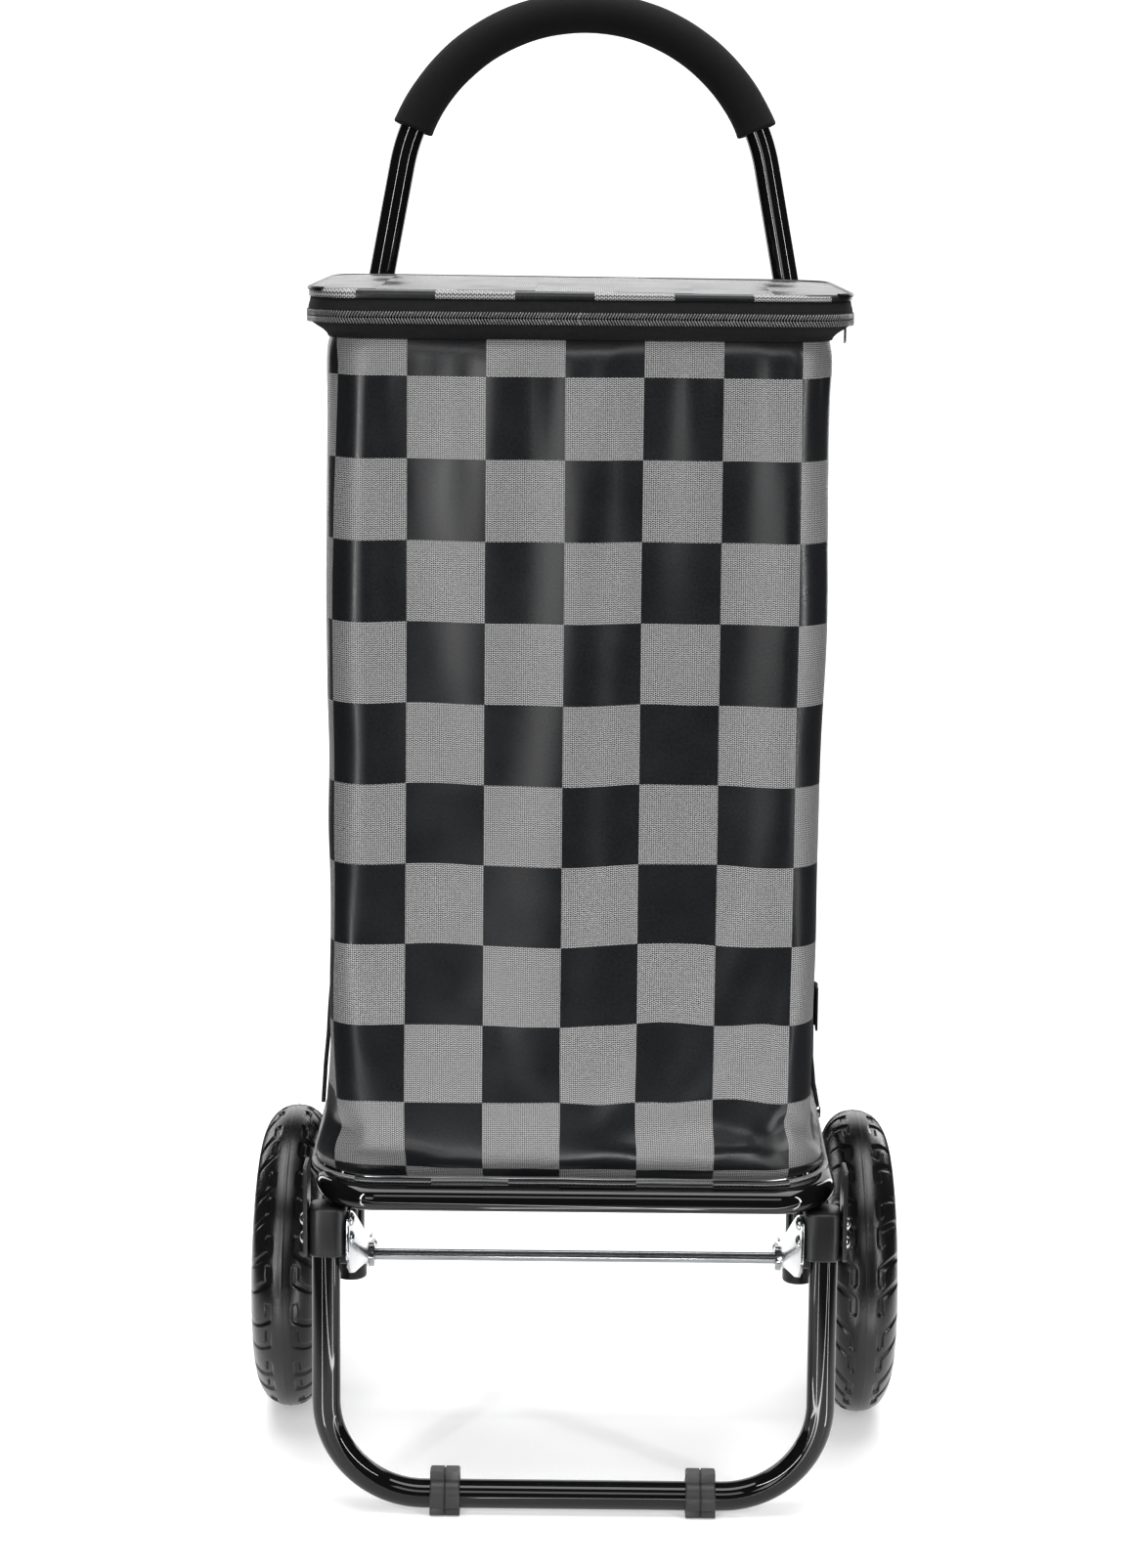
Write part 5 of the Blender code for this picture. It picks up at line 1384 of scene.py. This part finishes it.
# %% Bag floor, lining and thickness
bm = bmesh.new()
bm.from_mesh(bag.data)
layer = bm.loops.layers.uv[UV_NAME]
bm.verts.ensure_lookup_table()
ring = [bm.verts[i] for i in range(RING_COUNT)]
centre_y = sum(v.co.y for v in ring) / RING_COUNT
for share in (0.80, 0.45, 0.15):
    inner = [bm.verts.new((v.co.x * share, centre_y + (v.co.y - centre_y) * share, BAG_BOTTOM))
             for v in ring]
    for i in range(RING_COUNT):
        j = (i + 1) % RING_COUNT
        face = bm.faces.new((ring[j], ring[i], inner[i], inner[j]))
        for loop in face.loops:
            loop[layer].uv = (loop.vert.co.x + 1.0, loop.vert.co.y + 1.0)
    ring = inner
face = bm.faces.new(ring[::-1])
for loop in face.loops:
    loop[layer].uv = (loop.vert.co.x + 1.0, loop.vert.co.y + 1.0)
bmesh.ops.recalc_face_normals(bm, faces=bm.faces)
bm.to_mesh(bag.data)
bm.free()
bag.data.shade_smooth()
bag.data.materials.append(finishes["checked_fabric"])
bag.data.materials.append(finishes["lining"])
smooth_cloth = bag.modifiers.new("finer", "SUBSURF")
smooth_cloth.levels = smooth_cloth.render_levels = 1
wall = bag.modifiers.new("wall", "SOLIDIFY")
wall.thickness = LINING_THICK
wall.offset = -1.0
wall.material_offset = 1
apply_modifiers(bag)
dress(bag, "frame", ["bag_shell"])
print("bag faces:", len(bag.data.polygons))

# %% [markdown]
# ## Piping
# A roll of cloth is sewn round the bag's bottom edge, and thin black welts run up the sides and
# round the lid. Each is a sweep along points taken from the bag's own outline.


# %% Piping
def cloth_sweep(name, path, radius, finish, body, closed, u_shift=0.0, v_place=0.0, sides=12):
    """A roll of cloth along a line of points, with its length as a UV map."""
    bm = bmesh.new()
    layer = bm.loops.layers.uv.new(UV_NAME)
    rings, lengths = [], [0.0]
    count = len(path)
    for i, point in enumerate(path):
        before = path[i - 1] if closed or i else path[0]
        after = path[(i + 1) % count] if closed or i + 1 < count else path[-1]
        along = (after - before).normalized()
        aside = Vector((0.02, 0.05, 1.0)) if abs(along.z) < 0.7 else Vector((0, 1, 0.1))
        across = along.cross(aside).normalized()
        up = across.cross(along)
        rings.append([bm.verts.new(point + (across * math.cos(t) + up * math.sin(t)) * radius)
                      for t in turns(sides)])
        if i:
            lengths.append(lengths[-1] + (point - path[i - 1]).length)
    pairs = [(i, i + 1) for i in range(count - 1)] + ([(count - 1, 0)] if closed else [])
    for a, b in pairs:
        end = lengths[b] if b else lengths[-1] + (path[0] - path[-1]).length
        for k in range(sides):
            m = (k + 1) % sides
            face = bm.faces.new((rings[a][k], rings[a][m], rings[b][m], rings[b][k]))
            marks = ((lengths[a], k), (lengths[a], k + 1), (end, k + 1), (end, k))
            for loop, (length, part) in zip(face.loops, marks):
                loop[layer].uv = (length + u_shift, v_place + part / sides * radius * math.tau)
    if not closed:
        bm.faces.new(rings[0][::-1])
        bm.faces.new(rings[-1])
    obj = object_from(name, bm, finish, 60.0, tidy=False)
    return dress(obj, body)


bottom_ring = []
for x, y in bag_ring(BAG_BOTTOM)[0][:-1]:
    bottom_ring.append(Vector((x, y, BAG_BOTTOM + 0.0008 - bottom_sag(x, y))))
bottom_centre = sum(bottom_ring, Vector()) / len(bottom_ring)
bottom_line = []
for p in bottom_ring:
    out = Vector((p.x - bottom_centre.x, (p.y - bottom_centre.y), 0)).normalized()
    bottom_line.append(p + out * 0.0008)
PIPING_R = 0.0026
cloth_sweep("bottom_piping", bottom_line, PIPING_R, finishes["checked_fabric"], "frame",
            True, u_shift=20 * CHECK_WIDTH - CHECK_PHASE_X, v_place=9.98 * CHECK_HEIGHT)

bpy.context.view_layer.update()
for side, mark, column in ((1.0, "right", BAG_FRONT_STEPS // 2 + BAG_CORNER_STEPS + 13),
                           (-1.0, "left", RING_COUNT - (BAG_FRONT_STEPS // 2 + BAG_CORNER_STEPS + 13))):
    line = []
    for z in rows_z[1:-1]:
        x, y = bag_ring(z)[0][column]
        line.append(Vector((x + side * 0.0012, y, z)))
    cloth_sweep(f"side_welt_{mark}", line, 0.0014, finishes["black_vinyl"], "frame",
                False)
print("piping", round(sum((a - b).length for a, b in zip(bottom_line, bottom_line[1:])), 3), "m")

# %% [markdown]
# ## The lid
# The lid is a thin padded panel with its own row of checks. It crowns gently, dips where the pad
# is slack, and its narrow skirt carries a second run of checks round to the zip.

# %% Lid skirt and top
LID_RISE = lid_high.z - lid_low.z
LID_SHIFT = -0.0018
lid_left, lid_right = lid_low.x + LID_SHIFT, lid_high.x + LID_SHIFT
LID_Y = (lid_low.y + lid_high.y) / 2
LID_HALF_X, LID_HALF_Y = (lid_right - lid_left) / 2, (lid_high.y - lid_low.y) / 2
LID_CORNER = 0.034
LID_COLUMNS = 12
WELT_R = 0.0014


def about_lid(point, wider, deeper, z):
    """A point moved out from the lid's middle and set at a height."""
    x, y = LID_SHIFT + (point.x - LID_SHIFT) * wider, LID_Y + (point.y - LID_Y) * deeper
    return Vector((x, y, z))


def lid_ring(inset, z, steps=LID_COLUMNS):
    """A level ring round the lid from the front middle."""
    corner = max(LID_CORNER - inset, 0.004)
    corners = rounded_rectangle(lid_left + inset, lid_right - inset, lid_low.y + inset,
                                lid_high.y - inset, corner, steps)
    ring = [(LID_SHIFT, lid_low.y + inset)]
    points = corners + [ring[0]]
    for target in points:
        start = ring[-1]
        parts = max(1, round(math.dist(start, target) / 0.009))
        for i in range(1, parts + 1):
            ring.append((start[0] + (target[0] - start[0]) * i / parts,
                         start[1] + (target[1] - start[1]) * i / parts))
    return [Vector((x, y, z)) for x, y in ring[:-1]]


def lid_sag(x, y):
    """How the lid's top swells and dips."""
    rx, ry = (x - LID_SHIFT) / LID_HALF_X, (y - LID_Y) / LID_HALF_Y
    crown = 0.0022 * max(0.0, 1 - rx * rx) * max(0.0, 1 - ry * ry)
    dents = noise.noise(Vector((x * 16.0, y * 20.0, 4.0))) * 0.0010
    edge = min(1.0, (1 - max(abs(rx), abs(ry))) / 0.25)
    tilt = -0.0012 * rx
    return crown + dents * max(edge, 0.0) + tilt


bm = bmesh.new()
layer = bm.loops.layers.uv.new(UV_NAME)
base_ring = lid_ring(0.0, lid_low.z)
LID_COUNT = len(base_ring)
lid_levels = [(0.004, lid_low.z), (0.0, lid_low.z), (-0.0003, lid_low.z + LID_RISE * 0.35),
              (0.0002, lid_high.z - 0.0012),
              (0.0014, lid_high.z - 0.0002)]
lid_rings = []
for inset, z in lid_levels:
    shrink_x, shrink_y = 1 - inset / LID_HALF_X, 1 - inset / LID_HALF_Y
    ring = [about_lid(p, shrink_x, shrink_y, z) for p in base_ring]
    if z > lid_low.z:
        ring = [p + Vector((0, 0, lid_sag(p.x, p.y) * (z - lid_low.z) / LID_RISE)) for p in ring]
    lid_rings.append(ring)
made = [[bm.verts.new(p) for p in ring] for ring in lid_rings]
flat = [0.0]
for a, b in zip(base_ring, base_ring[1:] + base_ring[:1]):
    flat.append(flat[-1] + (b - a).length)
SKIRT_PHASE = 0.0068
for row, (first, second) in enumerate(zip(made, made[1:])):
    for i in range(LID_COUNT):
        j = (i + 1) % LID_COUNT
        face = bm.faces.new((first[i], first[j], second[j], second[i]))
        for loop, (length, level) in zip(face.loops, quad_marks(flat, i, row)):
            if length > flat[-1] / 2 + 0.01:
                length -= flat[-1]
            loop[layer].uv = (length - SKIRT_PHASE + 21 * CHECK_WIDTH + LID_SHIFT,
                              10.4 * CHECK_HEIGHT + level * 0.0012)
TOP_PHASE_X, TOP_PHASE_Y = 0.0190, -0.0400
outer = made[-1]
for share in (0.95, 0.88, 0.80, 0.70, 0.60, 0.50, 0.40, 0.30, 0.20, 0.10):
    ring = []
    for p in lid_rings[-1]:
        x, y, z = about_lid(p, share, share, lid_high.z - 0.0002)
        ring.append(bm.verts.new((x, y, z + lid_sag(x, y))))
    for i in range(LID_COUNT):
        j = (i + 1) % LID_COUNT
        bm.faces.new((outer[i], outer[j], ring[j], ring[i]))
    outer = ring
bm.faces.new(outer)
bm.faces.new(made[0][::-1])
for face in bm.faces:
    if all(v.co.z > lid_high.z - 0.004 for v in face.verts):
        face.normal_update()
        if abs(face.normal.z) > 0.85:
            for loop in face.loops:
                loop[layer].uv = (loop.vert.co.x - TOP_PHASE_X + 20 * CHECK_WIDTH,
                                  loop.vert.co.y - TOP_PHASE_Y + 20 * CHECK_HEIGHT)
lid = object_from("lid_cloth", bm, finishes["checked_fabric"], 50.0, tidy=False)
dress(lid, "lid", ["lid_panel"])
welt_line = [p + Vector((0, 0, 0.0004)) for p in lid_rings[-2]]
WELT_FREE_Y = lid_low.y + 0.010  # the welt stops here, short of the front edge
start = next(i for i, p in enumerate(welt_line) if p.x > 0 and p.y > WELT_FREE_Y)
ordered = welt_line[start:] + welt_line[:start]
ordered = [p for p in ordered if p.y > WELT_FREE_Y]
cloth_sweep("lid_welt", ordered, WELT_R, finishes["black_vinyl"], "lid", False)
print("lid", round((lid_right - lid_left) * 1000), "mm wide")

# %% [markdown]
# ## Zip tapes and coil
# The lower tape slopes in from the lid's outline to the bag's narrower mouth. The upper one
# hangs straight from the lid. Between them a nylon coil shows as two rows of slanting loops, set
# along the tape by the same tree as the rivets. The back of the lid is a plain sewn hinge.

# %% Tapes
tape_split = (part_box("zip_tape_lower")[1].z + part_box("zip_tape_upper")[0].z) / 2


def band_piece(name, outer_rings, thickness, body, node):
    """A closed band of tape through rings of points, with a wall."""
    count = len(outer_rings[0])
    bm = bmesh.new()
    layer = bm.loops.layers.uv.new(UV_NAME)
    rings = [[bm.verts.new(p) for p in ring] for ring in outer_rings]
    flat = [0.0]
    for a, b in zip(outer_rings[-1], outer_rings[-1][1:] + outer_rings[-1][:1]):
        flat.append(flat[-1] + (b - a).length)
    for row, (first, second) in enumerate(zip(rings, rings[1:])):
        for i in range(count):
            j = (i + 1) % count
            face = bm.faces.new((first[i], first[j], second[j], second[i]))
            for loop, (length, level) in zip(face.loops, quad_marks(flat, i, row)):
                loop[layer].uv = (length, level * 0.003)
    bmesh.ops.recalc_face_normals(bm, faces=bm.faces)
    centre = sum((v.co for v in rings[0]), Vector()) / count
    face = next(iter(bm.faces))
    if (face.calc_center_median() - centre).dot(face.normal) < 0:
        bmesh.ops.reverse_faces(bm, faces=bm.faces)
    mesh = bpy.data.meshes.new(name)
    bm.to_mesh(mesh)
    bm.free()
    mesh.shade_smooth()
    mesh.materials.append(finishes["zip_tape_fabric"])
    obj = bpy.data.objects.new(name, mesh)
    scene.collection.objects.link(obj)
    solid = obj.modifiers.new("wall", "SOLIDIFY")
    solid.thickness, solid.offset = thickness, -1.0
    apply_modifiers(obj)
    return dress(obj, body, [node])


def tape_ring(drop, proud):
    """A ring at a height under or over the split, pushed out by a distance."""
    wider, deeper = 1 + proud / 0.167, 1 + proud / 0.118
    return [about_lid(p, wider, deeper, tape_split + drop) for p in base_ring]


def mouth_ring(share, drop):
    """Between the lid's outline and the bag's mouth, for the sloping lower tape."""
    left, right, front, corner = blend_levels(BAG_TOP - 0.003, BAG_LEVELS)
    mouth_x = (right - left) / 2 + 0.0012
    ring = []
    for p in base_ring:
        rx, ry = (p.x - LID_SHIFT) / LID_HALF_X, (p.y - LID_Y) / LID_HALF_Y
        half_y = LID_Y - front + 0.0012 if ry < 0 else lid_high.y - LID_Y
        target = Vector((LID_SHIFT + rx * mouth_x, LID_Y + ry * half_y, tape_split + drop))
        source = Vector((p.x, p.y, tape_split + drop))
        ring.append(source.lerp(target, share))
    return ring


UPPER_LEVELS = ((0.0005, 0.0), (0.0030, 0.0006), (0.0060, 0.0004), (0.0090, -0.0004),
                (lid_low.z - tape_split + 0.0004, -0.0008))
upper_rings = [tape_ring(drop, proud) for drop, proud in UPPER_LEVELS]
band_piece("tape_upper", upper_rings, 0.0010, "lid", "zip_tape_upper")
lower_drop = BAG_TOP - 0.0035 - tape_split
LOWER_LEVELS = ((1.0, 1.0), (0.93, 0.86), (0.72, 0.68), (0.40, 0.50), (0.12, 0.32), (0.0, 0.16))
lower_rings = [mouth_ring(share, lower_drop * part) for share, part in LOWER_LEVELS]
lower_rings.append(mouth_ring(0.0, -0.0005))
band_piece("tape_lower", lower_rings, 0.0010, "frame", "zip_tape_lower")

# %% Coil
COIL_PITCH = 0.0018
COIL_LENGTH = 0.0042
COIL_R = 0.00046
bm = bmesh.new()
loop_profile = [(-COIL_LENGTH / 2, COIL_R * 0.35), (-COIL_LENGTH / 2 + 0.0004, COIL_R),
                (COIL_LENGTH / 2 - 0.0004, COIL_R * 1.15), (COIL_LENGTH / 2, COIL_R * 0.5)]
rings = [[Vector((r * math.cos(t), r * math.sin(t), a)) for t in turns(6)] for a, r in loop_profile]
skin(bm, rings, caps=True)
coil_loop = object_from("coil_loop", bm, finishes["zip_teeth_grey"], 60.0)
chain = [about_lid(p, 1.006, 1.008, tape_split) for p in base_ring]
chain.append(chain[0])
spots, along_chain, carry = [], 0.0, 0.0
for a, b in zip(chain, chain[1:]):
    length = (b - a).length
    place = carry
    while place < length:
        p = a.lerp(b, place / length)
        spots.append((p, math.atan2(b.y - a.y, b.x - a.x)))
        place += COIL_PITCH
    carry = place - length
REAR_CLEAR = lid_high.y - 0.020
SLANT = math.radians(30)
for mark, body, side, node in (("upper", "lid", 1.0, "zip_teeth_upper"),
                               ("lower", "frame", -1.0, "zip_teeth_lower")):
    points, turned = [], []
    for p, heading in spots:
        if p.y > REAR_CLEAR:
            continue
        points.append(p + Vector((0, 0, side * COIL_LENGTH * 0.47)))
        turned.append((0.0, side * SLANT, heading))
    coil = set_on_points(f"coil_{mark}", coil_loop, points, turned, finishes["zip_teeth_grey"])
    coil.data.shade_smooth()
    dress(coil, body, [node])
    print("coil", mark, len(points), "loops")
bpy.data.objects.remove(coil_loop)

# %% [markdown]
# ## Slider and pull
# The slider hugs the coil with a domed top plate, and a flat pull with a rounded end hangs from
# its bridge.

# %% Slider and pull
METAL = finishes["slider_metal"]
low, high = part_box("zip_slider")
centre = (low + high) / 2


def rounded_block(name, low, high, radius, finish, steps=5):
    """A block with its vertical-plane outline rounded: y and z are rounded, x is extruded."""
    outline = rounded_rectangle(low.y, high.y, low.z, high.z, radius, steps)
    bm = bmesh.new()
    slab(bm, outline, (low.x, high.x))
    return object_from(name, bm, finish, 35.0)


plate_high = Vector((low.x + 0.0022, high.y, high.z))
slider = add_bevel(rounded_block("slider_plate", low, plate_high, 0.0030, METAL), 0.0006)
apply_modifiers(slider)
bm = bmesh.new()
bm.from_mesh(slider.data)
bridge = []
for i in range(15):
    t = math.pi * i / 14
    bridge.append(Vector((low.x + 0.0010 + 0.0040 * math.sin(t), centre.y - 0.0048 * math.cos(t),
                          centre.z)))
skin(bm, sweep_rings(bridge, Vector((0, 0, 1)), 0.0010, 12), caps=True)
slider_body = object_from("zip_slider_body", bm, METAL, 45.0, tidy=False)
bpy.data.objects.remove(slider)
dress(slider_body, "slider", ["zip_slider"])

low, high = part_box("zip_puller")
pull_x = (low.x + high.x) / 2
pull_centre = Vector((pull_x, (low.y + high.y) / 2, high.z - 0.0021))
half_y = (high.y - low.y) / 2
outline = []
for y, z, start in ((half_y - 0.002, low.z + 0.003, 0.75),
                    (half_y * 0.72 - 0.001, high.z - 0.0015, 0.0),
                    (-half_y * 0.72 + 0.001, high.z - 0.0015, 0.25),
                    (-half_y + 0.002, low.z + 0.003, 0.5)):
    for i in range(6):
        t = math.tau * (start + 0.25 * i / 5)
        radius = 0.002 if z < centre.z - 0.005 else 0.001
        outline.append((pull_centre.y + y + radius * math.cos(t), z + radius * math.sin(t)))
bm = bmesh.new()
slab(bm, outline, (pull_x - 0.0007, pull_x + 0.0007))
pull = object_from("zip_pull_tab", bm, METAL, 35.0)
bm = bmesh.new()
slab(bm, oval(pull_centre.y, high.z - 0.0030, 0.00224, 0.0013, 20), (pull_x - 0.01, pull_x + 0.01))
hole = object_from("pull_hole", bm, METAL)
cut = pull.modifiers.new("hole", "BOOLEAN")
cut.operation, cut.solver, cut.object = "DIFFERENCE", "EXACT", hole
add_bevel(pull, 0.0003)
apply_modifiers(pull)
bpy.data.objects.remove(hole)
dress(pull, "puller", ["zip_puller"])
print("pull", round((high.z - low.z) * 1000, 1), "mm long")

# %% [markdown]
# ## Straps
# Loops of webbing hold the bag's back to the uprights. Each is a strip that goes round the tube
# and comes back to the cloth, so it is an extruded outline with a UV map for its weave.

# %% Straps
for mark, side in (("left", -1.0), ("right", 1.0)):
    for level in ("lower", "upper"):
        node = f"strap_{level}_{mark}"
        low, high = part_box(node)
        inner_r, thick = TUBE_R + 0.0010, 0.0016
        rings = []
        steps = 26
        for z in np.linspace(low.z, high.z, 7):
            cy = upright_y(z)
            front = low.y + 0.0004
            outer, inner = [], []
            for i in range(steps + 1):
                t = -0.30 + (math.pi + 0.60) * i / steps
                outer.append((side * FRAME_HALF + (inner_r + thick) * math.cos(t),
                              cy + (inner_r + thick) * math.sin(t)))
                inner.append((side * FRAME_HALF + inner_r * math.cos(t), cy + inner_r * math.sin(t)))
            line = [(outer[0][0] - 0.0002, front)] + outer + [(outer[-1][0] + 0.0002, front)]
            line += [(inner[-1][0] + 0.0002, front)] + inner[::-1] + [(inner[0][0] - 0.0002, front)]
            rings.append([Vector((x, y, z)) for x, y in line])
        bm = bmesh.new()
        layer = bm.loops.layers.uv.new(UV_NAME)
        made = skin(bm, rings, caps=True)
        flat = [0.0]
        for a, b in zip(rings[0], rings[0][1:] + rings[0][:1]):
            flat.append(flat[-1] + (b - a).length)
        flat_of = {v: flat[i] for ring in made for i, v in enumerate(ring)}
        for face in bm.faces:
            for loop in face.loops:
                loop[layer].uv = (flat_of[loop.vert], loop.vert.co.z)
        strap = object_from(f"webbing_{level}_{mark}", bm, finishes["black_webbing"], 35.0, tidy=False)
        dress(strap, "frame", [node])
print("straps: 4 loops")

# %% [markdown]
# ## Pieces that keep their shape
# Ears, pins, spacers, washers, nuts, bushes and the base board are already right. They only need
# the new finishes, which are put in their material slots.

# %% Finishes for the carried-over nodes
slot_of = {row["node"]: row["material_slot"] for row in frame["record"]["subparts"]}
kept = [name for name, obj in frame["nodes"].items() if not obj.hide_render]
for name in kept:
    obj = frame["nodes"][name]
    obj.data.materials.clear()
    obj.data.materials.append(finishes[slot_of[name]])
print("kept nodes:", kept)

# %% [markdown]
# ## Cloth meshes
# When the tray swings up against the handle, the bag crumples flat against the uprights. Here each
# cloth piece only gets a mesh of its own.

# %% Own meshes for the cloth pieces
for name in ("bag_cloth", "bottom_piping", "side_welt_left", "side_welt_right", "tape_lower",
             "coil_lower"):
    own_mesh(bpy.data.objects[name])
